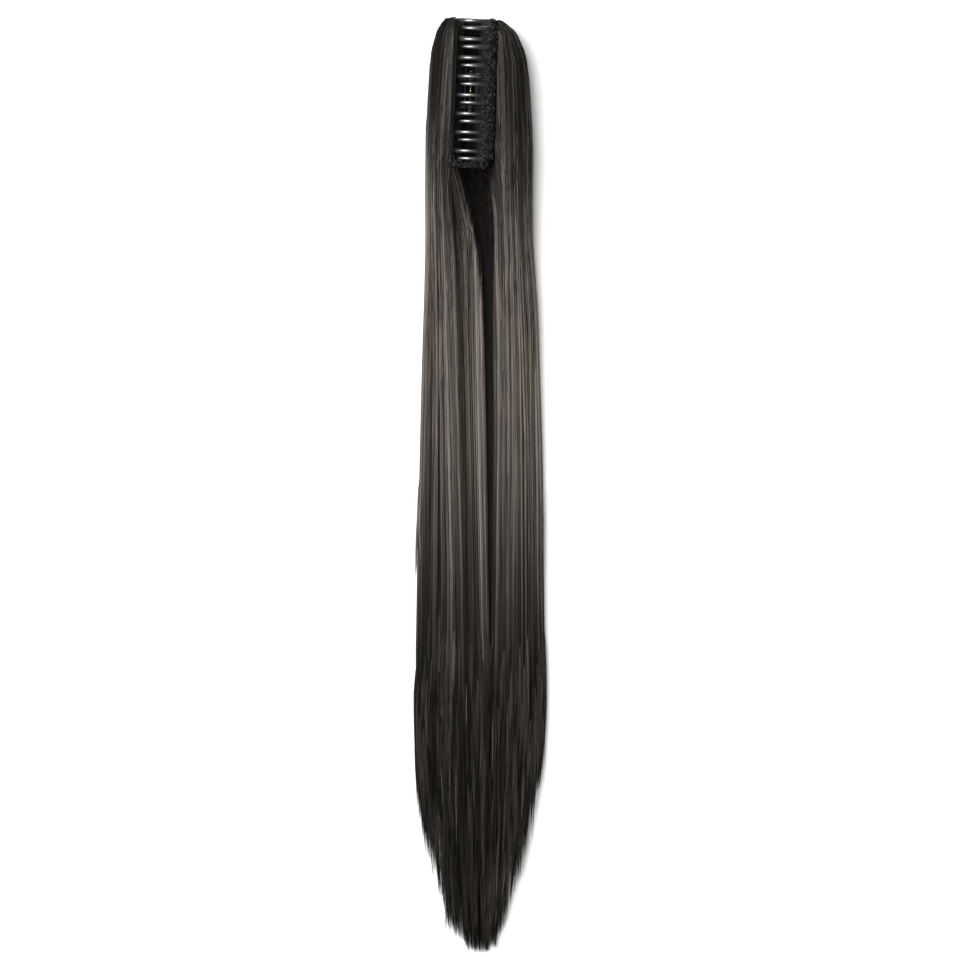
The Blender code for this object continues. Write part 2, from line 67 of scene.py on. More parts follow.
def ringFaces(count, size, closed=False):
    # Quads between ring k and ring k + 1, and between point j and point j + 1 of a ring, all indices wrapped.
    index = np.arange(count * size).reshape(count, size)
    ahead = np.roll(index, -1, axis=0) if closed else index[1:]
    start = index if closed else index[:-1]
    turned = np.roll(start, -1, axis=1)
    turnedAhead = np.roll(ahead, -1, axis=1)
    quads = np.stack([start, turned, turnedAhead, ahead], axis=-1).reshape(-1, 4)
    if closed:
        return [quads]
    return [quads, index[:1, ::-1], index[-1:]]


def manyFaces(one, count, size):
    # The same faces again for each of count shapes, each shape's indices size further on.
    offsets = np.arange(count) * size
    return [(faces[None] + offsets[:, None, None]).reshape(-1, faces.shape[1]) for faces in one]


def facedOut(points, faces):
    # Six times the volume is the sum of a · (b × c) over triangles; below zero the faces are turned round.
    total = 0.0
    for group in faces:
        a = points[group[:, 0]]
        for k in range(1, group.shape[1] - 1):
            total += np.einsum("ij,ij->", a, np.cross(points[group[:, k]], points[group[:, k + 1]]))
    return faces if total > 0 else [group[:, ::-1] for group in faces]


def joined(shells):
    # Several shells as one: their points stacked, their indices moved on by the points before them.
    points, faces, before = [], [], 0
    for shellPoints, shellFaces in shells:
        points.append(shellPoints.reshape(-1, 3))
        faces += [group + before for group in facedOut(points[-1], shellFaces)]
        before += len(points[-1])
    return np.concatenate(points), faces


def putMesh(name, points, faces, material, attributes=None):
    mesh = bpy.data.meshes.new(name)
    points = np.asarray(points, float).reshape(-1, 3) + toTable
    corners = np.concatenate([group.ravel() for group in faces]).astype(np.int32)
    sizes = np.concatenate([np.full(len(group), group.shape[1]) for group in faces])
    mesh.vertices.add(len(points))
    mesh.vertices.foreach_set("co", points.astype(np.float32).ravel())
    mesh.loops.add(len(corners))
    mesh.loops.foreach_set("vertex_index", corners)
    mesh.polygons.add(len(sizes))
    mesh.polygons.foreach_set("loop_start", (np.cumsum(sizes) - sizes).astype(np.int32))
    mesh.polygons.foreach_set("use_smooth", np.ones(len(sizes), bool))
    mesh.update(calc_edges=True)
    mesh.validate()
    for key, values in (attributes or {}).items():
        layer = mesh.attributes.new(key, "FLOAT", "POINT")
        layer.data.foreach_set("value", np.asarray(values, np.float32).ravel())
    mesh.materials.append(material)
    obj = bpy.data.objects.new(name, mesh)
    bpy.context.scene.collection.objects.link(obj)
    return obj


def unit(vectors):
    return vectors / np.maximum(np.linalg.norm(vectors, axis=-1, keepdims=True), 1e-12)


def tubePoints(path, radius, sides, guide=(0.0, 0.0, 1.0), phase=0.0, closed=False):
    # Ring round each place: place + radius · (cos a · across + sin a · lift), across = guide × along.
    if closed:
        along = np.roll(path, -1, axis=-2) - np.roll(path, 1, axis=-2)
    else:
        along = np.gradient(path, axis=-2)
    along = unit(along)
    across = unit(np.cross(np.broadcast_to(guide, along.shape), along))
    lift = np.cross(along, across)
    angle = np.asarray(phase)[..., None, None] + 2 * np.pi * np.arange(sides) / sides
    ring = np.cos(angle)[..., None] * across[..., None, :] + np.sin(angle)[..., None] * lift[..., None, :]
    return path[..., None, :] + np.asarray(radius)[..., None, None] * ring


def newMaterial(name):
    material = bpy.data.materials.new(name)
    material.use_nodes = True
    tree = material.node_tree
    return material, tree.nodes, tree.links, tree.nodes["Principled BSDF"]


def stretchedNoise(nodes, links, stretch, scale, detail):
    # Noise on object coordinates, each axis multiplied by its own stretch.
    coordinates = nodes.new("ShaderNodeTexCoord")
    mapping = nodes.new("ShaderNodeMapping")
    mapping.inputs["Scale"].default_value = stretch
    noise = nodes.new("ShaderNodeTexNoise")
    noise.inputs["Scale"].default_value = scale
    noise.inputs["Detail"].default_value = detail
    links.new(coordinates.outputs["Object"], mapping.inputs["Vector"])
    links.new(mapping.outputs["Vector"], noise.inputs["Vector"])
    return noise


def ramp(nodes, links, source, stops):
    node = nodes.new("ShaderNodeValToRGB")
    elements = node.color_ramp.elements
    while len(elements) < len(stops):
        elements.new(0.5)
    for element, (place, colour) in zip(elements, stops):
        element.position = place
        element.color = (*colour, 1)
    links.new(source, node.inputs["Fac"])
    return node


def newFinish(name, look):
    # Noise drives the colours, the roughness and the bump; for hair its share is added to the strand's shade.
    material, nodes, links, shader = newMaterial(name)
    noise = stretchedNoise(nodes, links, look.get("stretch", (1, 1, 1)), look["scale"], look["detail"])
    source = noise.outputs["Fac"]
    if "streakShare" in look:
        shade = nodes.new("ShaderNodeAttribute")
        shade.attribute_name = "shade"
        blend = nodes.new("ShaderNodeMath")
        blend.operation = "MULTIPLY_ADD"
        blend.inputs[1].default_value = look["streakShare"]
        links.new(source, blend.inputs[0])
        links.new(shade.outputs["Fac"], blend.inputs[2])
        source = blend.outputs["Value"]
    colours = ramp(nodes, links, source, look["colours"])
    links.new(colours.outputs["Color"], shader.inputs["Base Color"])
    if "roughness" in look:
        rough = nodes.new("ShaderNodeMapRange")
        rough.inputs["From Max"].default_value = look.get("glossFrom", 1)
        rough.inputs["To Min"].default_value, rough.inputs["To Max"].default_value = look["roughness"]
        links.new(source, rough.inputs["Value"])
        links.new(rough.outputs["Result"], shader.inputs["Roughness"])
    if "bump" in look:
        bump = nodes.new("ShaderNodeBump")
        bump.inputs["Strength"].default_value, bump.inputs["Distance"].default_value = look["bump"]
        links.new(noise.outputs["Fac"], bump.inputs["Height"])
        links.new(bump.outputs["Normal"], shader.inputs["Normal"])
    for socket, value in look["all over"].items():
        shader.inputs[socket].default_value = value
    return material


# stretch, scale and detail are the noise's; roughness is a pair, for the darkest places and the others;
# bump is strength and distance
hairLook = {
    "stretch": (1, 0.012, 1),
    "scale": 900,
    "detail": 3,
    "streakShare": 0.20,
    "colours": ((0.0, (0.0012, 0.0010, 0.0009)), (0.16, (0.0050, 0.0042, 0.0036)),
                (0.5, (0.040, 0.0352, 0.0298)), (1.0, (0.215, 0.192, 0.166))),
    "roughness": (0.80, 0.25),
    "glossFrom": 0.42,
    "bump": (0.15, 0.0004),
    "all over": {"Specular IOR Level": 0.17, "Specular Tint": (1.0, 0.93, 0.85, 1)},
}
# a darker copy of the hair's finish, painted shade: for the hair bodies under the strands, the valley floor
# and the back flap
hairInShadeLook = {
    "stretch": (1, 0.012, 1),
    "scale": 700,
    "detail": 3,
    "streakShare": 0.4,
    "colours": ((0.0, (0.002, 0.002, 0.002)), (0.6, (0.007, 0.006, 0.006)), (1.0, (0.034, 0.030, 0.027))),
    "roughness": (0.5, 0.7),
    "bump": (0.8, 0.0004),
    "all over": {"Specular IOR Level": 0.15, "Specular Tint": (1.0, 0.95, 0.9, 1)},
}
plasticLook = {
    "scale": 160,
    "detail": 5,
    "colours": ((0.3, (0.004, 0.004, 0.005)), (0.7, (0.010, 0.010, 0.011))),
    "roughness": (0.24, 0.34),
    "all over": {"Specular IOR Level": 0.8, "IOR": 1.6, "Coat Weight": 0.35, "Coat Roughness": 0.16},
}
dullPlasticLook = {
    "scale": 240,
    "detail": 5,
    "colours": ((0.3, (0.004, 0.004, 0.005)), (0.7, (0.009, 0.009, 0.010))),
    "roughness": (0.5, 0.65),
    "all over": {"Specular IOR Level": 0.4, "IOR": 1.5},
}
brassLook = {
    "scale": 900,
    "detail": 4,
    "colours": ((0.3, (0.30, 0.23, 0.09)), (0.7, (0.62, 0.50, 0.24))),
    "roughness": (0.22, 0.42),
    "all over": {"Metallic": 1},
}
springLook = {
    "scale": 700,
    "detail": 4,
    "colours": ((0.45, (0.006, 0.005, 0.003)), (0.62, (0.045, 0.036, 0.018))),
    "roughness": (0.35, 0.5),
    "all over": {"Metallic": 1},
}
netLook = {
    "scale": 1500,
    "detail": 4,
    "colours": ((0.3, (0.001, 0.001, 0.0015)), (0.7, (0.006, 0.0055, 0.008))),
    "bump": (0.9, 0.0003),
    "all over": {"Roughness": 0.9, "Specular IOR Level": 0.15},
}
loopLook = {
    "scale": 420,
    "detail": 4,
    "colours": ((0.40, (0.002, 0.002, 0.003)), (0.62, (0.058, 0.056, 0.068))),
    "bump": (0.8, 0.0003),
    "all over": {"Roughness": 0.55, "Specular IOR Level": 0.2},
}
strandFinish, hairInShadeFinish = newFinish("hairStrandFinish", hairLook), newFinish("paintedShadeHairFinish", hairInShadeLook)
plasticFinish = newFinish("clipPlasticFinish", plasticLook)
dullPlasticFinish = newFinish("hingePlasticFinish", dullPlasticLook)
brassFinish, springFinish = newFinish("brassFinish", brassLook), newFinish("springFinish", springLook)
netFinish, loopFinish = newFinish("netFinish", netLook), newFinish("crochetFinish", loopLook)
print("materials made")


form = {
    "jawLength": 0.094,
    "clipHalfWidth": 0.0174,  # of the room that clip and net take
    "clipHalfHeight": 0.0162,
    "clipMiddleZ": 0.03493,
    "clipTop": 0.05113,
    "besideClip": 0.0236,
    "tailLength": 0.5125,
    "tailHalfWidth": 0.044,
    "tailThickness": 0.0205,
    "tailShift": 0.0067,
    "tailDrift": math.tan(math.radians(2.09)),
    "splitY": -0.04765,
    "halfGap": 0.00015,
    "backGap": math.tan(math.radians(22)),
    "groove": 0.0012,
    "grooves": {-1: 7, 1: 5},
}

# along, outer, crown, top, side, low, flank: as shares of the clip, beside it
besideRows = {
    -1: (
        (1.013, -0.08, -0.20, 0.860, 0.59, 0.38, 2.0), (0.980, 0.08, -0.17, 0.945, 0.53, 0.18, 2.1),
        (0.900, 0.22, -0.10, 0.985, 0.47, 0.06, 2.2), (0.720, 0.32, -0.04, 1.015, 0.43, 0.0, 2.2),
        (0.460, 0.40, -0.02, 1.020, 0.39, 0.0, 2.2), (0.000, 0.43, 0.00, 1.020, 0.37, 0.0, 2.2),
        (-0.55, 0.45, 0.00, 1.005, 0.36, 0.0, 2.2), (-1.00, 0.43, 0.00, 0.970, 0.35, 0.0, 2.0),
    ),
    1: (
        (1.000, 0.03, -0.12, 0.830, 0.62, 0.42, 1.8), (0.965, 0.17, -0.04, 0.880, 0.56, 0.26, 1.6),
        (0.880, 0.40, 0.11, 0.900, 0.50, 0.11, 1.45), (0.720, 0.61, 0.21, 0.905, 0.45, 0.03, 1.40),
        (0.460, 0.82, 0.30, 0.905, 0.41, 0.0, 1.37), (0.000, 1.00, 0.35, 0.905, 0.39, 0.0, 1.37),
        (-0.55, 1.14, 0.38, 0.895, 0.37, 0.0, 1.37), (-1.00, 1.20, 0.41, 0.870, 0.35, 0.0, 1.30),
    ),
}

# along, outer, crown, rise, thick, flank: as shares of the tail, below the clip
tailRows = {
    -1: (
        (0.023, 0.825, 0.590, 0.820, 1.00, 1.05), (0.059, 0.827, 0.570, 0.650, 1.00, 1.00),
        (0.105, 0.820, 0.540, 0.470, 1.00, 1.05), (0.181, 0.840, 0.500, 0.240, 1.00, 1.30),
        (0.279, 0.868, 0.455, 0.090, 1.00, 1.65), (0.400, 0.888, 0.420, 0.025, 1.00, 2.0),
        (0.531, 0.918, 0.410, 0.0, 0.99, 2.2), (0.656, 0.940, 0.410, 0.0, 0.95, 2.2),
        (0.738, 0.880, 0.395, 0.0, 0.86, 2.2), (0.817, 0.745, 0.340, 0.0, 0.73, 2.2),
        (0.885, 0.595, 0.270, 0.0, 0.60, 2.2), (0.938, 0.430, 0.190, 0.0, 0.48, 2.2),
        (0.969, 0.260, 0.105, 0.0, 0.35, 2.2), (0.985, 0.110, 0.025, 0.0, 0.23, 2.2),
    ),
    1: (
        (0.023, 0.840, 0.440, 0.760, 1.00, 1.25), (0.059, 0.825, 0.440, 0.600, 1.00, 1.20),
        (0.105, 0.827, 0.450, 0.410, 1.00, 1.30), (0.181, 0.860, 0.475, 0.200, 1.00, 1.60),
        (0.279, 0.876, 0.500, 0.070, 0.99, 1.90), (0.400, 0.915, 0.520, 0.015, 0.97, 2.1),
        (0.531, 0.930, 0.530, 0.0, 0.95, 2.2), (0.656, 0.930, 0.530, 0.0, 0.90, 2.2),
        (0.738, 0.815, 0.485, 0.0, 0.80, 2.2), (0.817, 0.690, 0.420, 0.0, 0.68, 2.2),
        (0.885, 0.530, 0.340, 0.0, 0.56, 2.2), (0.938, 0.355, 0.250, 0.0, 0.44, 2.2),
        (0.969, 0.245, 0.195, 0.0, 0.31, 2.2),
    ),
}

# along, share of the tail's half width from its middle to the parting
partingRows = (
    (0.0, -0.050), (0.023, 0.020), (0.060, 0.070), (0.181, 0.122), (0.279, 0.135), (0.400, 0.139),
    (1.0, 0.139),
)

# along, left, right: metres from the parting to where each half rises out of the dark, below the clip
valleyRows = (
    (0.000, 0.0180, 0.0105), (0.022, 0.0163, 0.0098), (0.047, 0.0126, 0.0080), (0.072, 0.0103, 0.0066),
    (0.110, 0.0075, 0.0052), (0.174, 0.0051, 0.0035), (0.300, 0.0034, 0.0025), (0.420, 0.0025, 0.0016),
    (0.550, 0.0012, 0.0009), (0.700, -0.0030, -0.0030), (1.000, -0.0060, -0.0060),
)

# along, left, right: metres from the parting to each half's last lane; below 0 the halves overlap
gapRows = (
    (0.000, 0.0026, 0.0026), (0.295, 0.0024, 0.0024), (0.420, 0.0016, 0.0018), (0.550, 0.0007, 0.0009),
    (0.700, -0.0012, -0.0012), (0.850, -0.0028, -0.0028), (1.000, -0.0050, -0.0050),
)

# along, half width as a share of the tail's: where the strands end, past the solid's own taper
endRows = {
    -1: ((0.50, 0.930), (0.60, 0.970), (0.677, 1.000), (0.740, 0.965), (0.804, 0.870), (0.868, 0.750),
         (0.931, 0.590), (0.969, 0.460), (0.989, 0.300), (1.0, 0.150), (1.008, 0.040)),
    1: ((0.50, 0.930), (0.60, 0.930), (0.677, 0.945), (0.740, 0.860), (0.804, 0.760), (0.868, 0.620),
        (0.931, 0.420), (0.969, 0.310), (0.989, 0.200), (1.0, 0.110), (1.008, 0.030)),
}


# y, metres by which the right half's strands lie inside the solid's outer side
slimRows = (
    (-0.40, 0.0), (-0.36, 0.0013), (-0.30, 0.0016), (-0.20, 0.0007), (-0.15, 0.0010), (-0.10, 0.0027),
    (-0.05, 0.0036), (-0.02, 0.0032), (0.0, 0.0024), (0.025, 0.0010), (0.047, 0.0),
)


def readRows(rows, places):
    # Between two rows a cubic with matched slopes; a row's slope is the harmonic mean of its neighbours'.
    table = np.array(sorted(rows), float)
    x, y = table[:, 0], table[:, 1:]
    rate = np.diff(y, axis=0) / np.diff(x)[:, None]
    same = rate[1:] * rate[:-1] > 0
    total = np.where(same, 1 / np.where(same, rate[1:], 1) + 1 / np.where(same, rate[:-1], 1), 1)
    slope = np.zeros_like(y)
    slope[1:-1] = np.where(same, 2 / total, 0)
    place = np.clip(places, x[0], x[-1])
    k = np.clip(np.searchsorted(x, place, side="right") - 1, 0, len(x) - 2)
    width = (x[k + 1] - x[k])[..., None]
    t = (place - x[k])[..., None] / width
    a, b = (1 + 2 * t) * (1 - t) ** 2, t * (1 - t) ** 2
    c, d = t * t * (3 - 2 * t), t * t * (t - 1)
    return a * y[k] + b * width * slope[k] + c * y[k + 1] + d * width * slope[k + 1]


def tailMiddle(y):
    return form["tailShift"] - y * form["tailDrift"]


def sectionTable(side):
    # Both tables as lengths, then read at 1400 places along y: outer, crown, top, side height, low, flank.
    rows = []
    for along, outer, crown, top, middle, low, flank in besideRows[side]:
        across = [side * (form["clipHalfWidth"] + share * form["besideClip"]) for share in (outer, crown)]
        heights = [share * form["clipTop"] for share in (top, middle, low)]
        rows.append((along * form["jawLength"] / 2, *across, *heights, flank))
    for along, outer, crown, rise, thick, flank in tailRows[side]:
        y = -form["jawLength"] / 2 - along * form["tailLength"]
        across = [tailMiddle(y) + side * share * form["tailHalfWidth"] for share in (outer, crown)]
        top = thick * form["tailThickness"] + rise * (form["clipTop"] - form["tailThickness"])
        rows.append((y, *across, top, 0.40 * top, 0.0, flank))
    y = np.linspace(min(row[0] for row in rows), max(row[0] for row in rows), 1400)
    return y, readRows(rows, y)


sections = {side: sectionTable(side) for side in (-1, 1)}
tipY = {-1: -0.5615, 1: -0.5600}  # where the last strands end


def sectionAt(side, y):
    places, values = sections[side]
    return [np.interp(y, places, values[:, column]) for column in range(values.shape[1])]


def partingAt(y):
    # 0 beside the clip, and over to the tail's parting within a short way below it.
    along = alongTail(y)
    over = np.clip((form["splitY"] - y) / 0.0085, 0, 1)
    return over * (tailMiddle(y) + readRows(partingRows, along)[..., 0] * form["tailHalfWidth"])


def alongTail(y):
    return (-y - form["jawLength"] / 2) / form["tailLength"]


def besideParting(side, y, rows):
    # The parting plus the half's own distance from it, which starts within a short way below the clip.
    away = readRows(rows, alongTail(y))[..., 0 if side < 0 else 1]
    return partingAt(y) + side * (form["halfGap"] + away * np.clip((form["splitY"] - y) / 0.004, 0, 1))


def hairSurface(side, y, turn):
    # x = crown + (edge − crown) · |cos turn|^(2 / flank), z = middle + reach · |sin turn|^(2 / flank);
    # the right half's outer edge is drawn in by slimRows.
    outer, crown, top, middle, low, flank = sectionAt(side, y)
    outer = outer - (readRows(slimRows, y)[..., 0] if side > 0 else 0)
    inner = besideParting(side, y, gapRows)
    below = smoothStep((form["splitY"] - y) / 0.07)
    flank = flank + (np.maximum(flank, 1.9) - flank) * below  # the edge beside the valley is round and steep
    across, rise = np.cos(turn), np.sin(turn)
    edge = np.where(across > 0, outer, inner)
    power = np.where(rise < 0, 3.2, np.where(across > 0, 2.3, flank))
    reach = np.where(rise < 0, 1.15 * (middle - low), top - middle)
    x = crown + (edge - crown) * np.abs(across) ** (2 / power)
    z = middle + reach * np.sign(rise) * np.abs(rise) ** (2 / power)
    return x, np.maximum(z, low)


def surfaceNormal(side, y, turn):
    # At right angles to the surface's rate along turn: (dz, −dx), turned to the side's own outside.
    x1, z1 = hairSurface(side, y, turn + 0.03)
    x0, z0 = hairSurface(side, y, turn - 0.03)
    dx, dz = x1 - x0, z1 - z0
    size = np.maximum(np.hypot(dx, dz), 1e-9)
    return side * dz / size, -side * dx / size


def furrowDepth(side, y, turn):
    # groove · (½ − ½ cos(2 · count · turn + wander)) · sin turn, the same furrows as the solid's.
    wander = 0.8 * np.sin(y / 0.047) + 0.5 * np.sin(y / 0.019 + 1)
    furrow = 0.5 - 0.5 * np.cos(2 * form["grooves"][side] * turn + wander)
    thin = np.minimum(1, sectionAt(side, y)[2] / form["tailThickness"])
    return form["groove"] * furrow * np.maximum(np.sin(turn), 0) * thin


def clearOfClip(side, x, y, z, edgeAngle, margin):
    # Inside the clip's ellipse a point moves out to it, at its own angle from the crown or at edgeAngle.
    # Behind the pin it moves out to the sloping side of the gap.
    wide, high = form["clipHalfWidth"] + margin, form["clipHalfHeight"] + margin
    beside = y > form["splitY"] - 0.0036
    sx, sz = side * x / wide, (z - form["clipMiddleZ"]) / high
    inside = beside & (sx * sx + sz * sz < 1)
    angle = np.maximum(np.arctan2(np.abs(sx), sz), edgeAngle)
    x = np.where(inside, side * wide * np.sin(angle), x)
    z = np.where(inside, form["clipMiddleZ"] + high * np.cos(angle), z)
    slope = np.maximum(hingeHeight - z, 0) * form["backGap"] + 0.0003 + margin
    behind = (y > form["splitY"]) & (side * x < slope) & (z < hingeHeight)
    x = np.where(behind, side * slope, x)
    return x, z


core = {
    "inset": 0.0026,
    "around": 72,
    "stations": 120,
    "shade": 0.25,
    "endY": -0.515,
    "endTaper": 0.14,
}


def makeCore(name, side, material):
    # Rings of the hair's section, drawn in along the normal by inset, from the clip's top end to the tip.
    turn = np.linspace(-np.pi, np.pi, core["around"], endpoint=False)[None]
    share = np.linspace(0, 1, core["stations"])[:, None] ** 1.25
    top = form["jawLength"] / 2 * 0.985
    y = top + (core["endY"] - top) * share
    x, z = hairSurface(side, y, turn)
    nx, nz = surfaceNormal(side, y, turn)
    height = sectionAt(side, y)[2]
    inset = np.minimum(core["inset"] + furrowDepth(side, y, turn) + shoulder(y), 0.35 * height)
    x, z = x - nx * inset, np.maximum(z - nz * inset, 0.0004)
    x, z = intoValley(side, x + side * 0.0012, y, z)
    thin = smoothStep((y - core["endY"]) / core["endTaper"])
    x = tailMiddle(y) + (x - tailMiddle(y)) * (0.25 + 0.75 * thin)
    z = 0.0004 + (z - 0.0004) * (0.15 + 0.85 * thin)
    x, z = clearOfClip(side, x, y, z, math.radians(36 if side < 0 else 72), 0.0001)
    points = np.stack([x, np.broadcast_to(y, x.shape), z], axis=-1)
    points, faces = joined([(points, ringFaces(*x.shape))])
    return putMesh(name, points, faces, material, {"shade": np.full(len(points), core["shade"])})


strands = {
    "count": {-1: 4100, 1: 3400},
    "locks": {-1: 11, 1: 9},
    "clumpsPerLock": 5,
    "segments": 12,
    "radius": (0.00012, 0.00030),
    "fromTopEnd": 0.70,  # the others start along the net
    "shortest": 0.03,
    "early": 0.16,  # share of them that end before the outline, by earlyBy
    "earlyBy": (0.01, 0.10),
    "taperFrom": -0.375,
    "taperKept": 0.36,
    "flare": 0.0022,
    "plungeWidth": 0.0042,
    "plungeDepth": 0.0030,
    "endRound": 0.0030,
    "rootDepth": 0.0022,
    "rootReach": 0.016,
    "edge": {-1: 34, 1: 68},  # degrees from the clip's crown to the hair's inner edge
    "edgeSpread": 40,
    "pull": (0.05, 0.38),  # how far a strand that starts on the net comes from its side, in radians
    "lean": 0.010,
    "clumpWave": (0.0035, 0.23),  # size and length
    "lockWave": (0.0060, 0.42),
    "clumpScatter": 0.24,  # as shares of a clump's width
    "clumpSpread": 0.40,
    "gather": 0.5,
    "gatherFrom": 0.80,
    "clumpEndScatter": 0.0011,
    "endScatter": 0.0012,
    "clumpRagged": (-0.004, 0.008),
    "ragged": 0.007,
    "proud": 0.0006,
    "clumpDepth": 0.0011,
    "lockDepth": 0.0010,
    "roundDepth": 0.0003,
    "looseDepth": 0.0010,
    "deepest": 0.0030,
    "shade": 0.43,
    "clumpShade": 0.14,
    "lockShade": 0.07,
    "strandShade": 0.13,
    # the next three darken strands as painted shade: deep ones, ones near their roots beside the clip, and
    # ones down in the valley
    "paintedDepthShade": 0.40,
    "paintedRootShade": 0.34,
    "paintedValleyShade": 0.55,
}


def laneTurns(side):
    # Length along the section from the table, over the crown, to the parting, as a share of the whole.
    turn = np.linspace(-0.95, 0.985 * np.pi, 500)
    x, z = hairSurface(side, np.full(500, -0.17), turn)
    reach = np.concatenate([[0], np.cumsum(np.hypot(np.diff(x), np.diff(z)))])
    return reach / reach[-1], turn


def smoothStep(value):
    t = np.clip(value, 0, 1)
    return t * t * (3 - 2 * t)


def shoulder(y):
    # The hair's top end is rounded: round · e^(−distance from the end / reach).
    return strands["endRound"] * np.exp(-(form["jawLength"] / 2 - y) / 0.005)


def strandPaths(side, lane, pull, start, end, inset, sink, edgeAngle, segments):
    # y runs from start to end, closer together near the start; the turn is read from the lane at each y.
    # Below taperFrom the section there is kept and narrowed less than the outline is.
    share = (np.arange(segments + 1) / segments)[None] ** 1.7
    y = start[:, None] + (end - start)[:, None] * share
    lanes, turns = laneTurns(side)
    turn = np.interp(np.clip(lane(y, share), 0, 1), lanes, turns)
    turn = turn + pull[:, None] * np.exp(-(start[:, None] - y) / 0.055)
    opening = smoothStep((form["splitY"] - y) / 0.08)
    turn = np.minimum(turn, np.pi * (0.80 + 0.185 * opening))
    held = np.maximum(y, strands["taperFrom"])
    x, z = hairSurface(side, held, turn)
    nx, nz = surfaceNormal(side, held, turn)
    heldHeight = sectionAt(side, held)[2]
    height = sectionAt(side, y)[2]
    depth = inset[:, None] + furrowDepth(side, y, turn) + shoulder(y)
    depth = depth + sink[:, None] * np.exp(-(start[:, None] - y) / 0.006)
    depth = np.minimum(depth, 0.35 * height)
    x, z = x - nx * depth, z - nz * depth
    outward = np.clip(1 - lane(y, share) / 0.45, 0, 1) * smoothStep((-0.10 - y) / 0.22)
    x = tailMiddle(y) + (x - tailMiddle(held)) * narrowing(side, y) + side * strands["flare"] * outward
    z = z * height / heldHeight
    x, z = intoValley(side, x, y, z)
    x, z = clearOfClip(side, x, y, z, edgeAngle[:, None], 0.0003 + 0.3 * inset[:, None])
    return np.stack([x, y, z], axis=-1)


def intoValley(side, x, y, z):
    # Past its upper edge a half drops to the valley's floor, z to plungeDepth by a smooth step.
    amount = pastEdge(side, x, y, strands["plungeWidth"])
    return x, z + (np.minimum(z, strands["plungeDepth"]) - z) * amount


def pastEdge(side, x, y, width):
    # 0 on the half, 1 from width past its upper edge on; nothing changes beside the clip.
    past = smoothStep((besideParting(side, y, valleyRows) - x) * side / width)
    return past * np.clip((form["splitY"] - y) / 0.002, 0, 1)


def outlineHalf(side, y):
    return readRows(endRows[side], alongTail(y))[..., 0] * form["tailHalfWidth"]


def narrowing(side, y):
    # 1 − kept · (1 − outline here / outline where the taper starts)
    whole = outlineHalf(side, np.array(strands["taperFrom"]))
    share = outlineHalf(side, np.minimum(y, strands["taperFrom"])) / whole
    return 1 - strands["taperKept"] * (1 - share)


def strandEnds(side, laneMiddle, slack):
    # The first y at which the narrowed lane lies outside the outline plus its own slack, else the tip.
    lanes, turns = laneTurns(side)
    turn = np.interp(laneMiddle, lanes, turns)
    x, _ = hairSurface(side, np.full(len(turn), strands["taperFrom"]), turn)
    away = np.abs(x - tailMiddle(strands["taperFrom"]))
    y = np.linspace(strands["taperFrom"] + 0.06, tipY[side], 120)
    outside = away[:, None] * narrowing(side, y)[None] > outlineHalf(side, y)[None] + slack[:, None]
    return np.where(outside.any(axis=1), y[np.argmax(outside, axis=1)], y[-1])


# y, shade: painted sheen and painted shade, lighter along the middle of the tail and darker towards its ends
# and beside the clip
paintedSheenAndShadeRows = (
    (0.05, -0.08), (0.0, -0.12), (-0.05, -0.02), (-0.09, 0.12), (-0.14, 0.24), (-0.20, 0.25), (-0.26, 0.13),
    (-0.33, -0.08), (-0.365, -0.22), (-0.40, -0.36), (-0.56, -0.42),
)

# x, y, half width, half length, shade: broad lighter and darker patches, partly the locks' own tones and
# partly painted sheen and painted shade
lockTonesAndPaintedLight = (
    (-0.0215, 0.021, 0.0040, 0.030, -0.44), (-0.0137, 0.014, 0.0018, 0.036, 0.30),
    (-0.0098, 0.014, 0.0012, 0.036, -0.46), (-0.0252, -0.075, 0.0052, 0.045, 0.36),
    (-0.0165, -0.048, 0.0026, 0.022, -0.12), (-0.0103, -0.060, 0.0014, 0.034, 0.22),
    (-0.0066, -0.072, 0.0014, 0.024, -0.40), (0.0012, -0.098, 0.0018, 0.024, 0.26),
    (-0.0042, -0.062, 0.0009, 0.014, 0.42), (0.0035, -0.090, 0.0012, 0.018, -0.20),
    (0.0178, 0.029, 0.0018, 0.018, 0.22), (0.0195, -0.010, 0.0020, 0.026, 0.20),
    (0.0222, 0.020, 0.0012, 0.018, -0.44), (0.0290, 0.004, 0.0100, 0.034, -0.17),
    (0.0340, -0.004, 0.0034, 0.027, -0.15), (0.0235, -0.062, 0.0040, 0.030, 0.12),
    (0.0347, -0.047, 0.0016, 0.026, -0.14), (0.0244, -0.462, 0.0170, 0.085, -0.06),
)


def laneWave(seed, group, groups, y, size, length):
    # size · (sin(2π y / length + a) + ½ sin(4.6π y / length + b)), a and b the same for a whole group.
    a, b = np.random.default_rng(seed).uniform(0, 2 * np.pi, (2, groups))
    wave = np.sin(2 * np.pi * y / length + a[group][:, None])
    return size * (wave + 0.5 * np.sin(4.6 * np.pi * y / length + b[group][:, None]))


def tonesAndPaintedLightAt(x, y):
    # painted sheen and shade at y + the sum of each patch's shade · exp(−(dx / half width)² − (dy / half
    # length)²).
    shade = readRows(paintedSheenAndShadeRows, y)[..., 0]
    for middleX, middleY, halfWidth, halfLength, amount in lockTonesAndPaintedLight:
        away = ((x - middleX) / halfWidth) ** 2 + ((y - middleY) / halfLength) ** 2
        shade = shade + amount * np.exp(-away)
    return shade


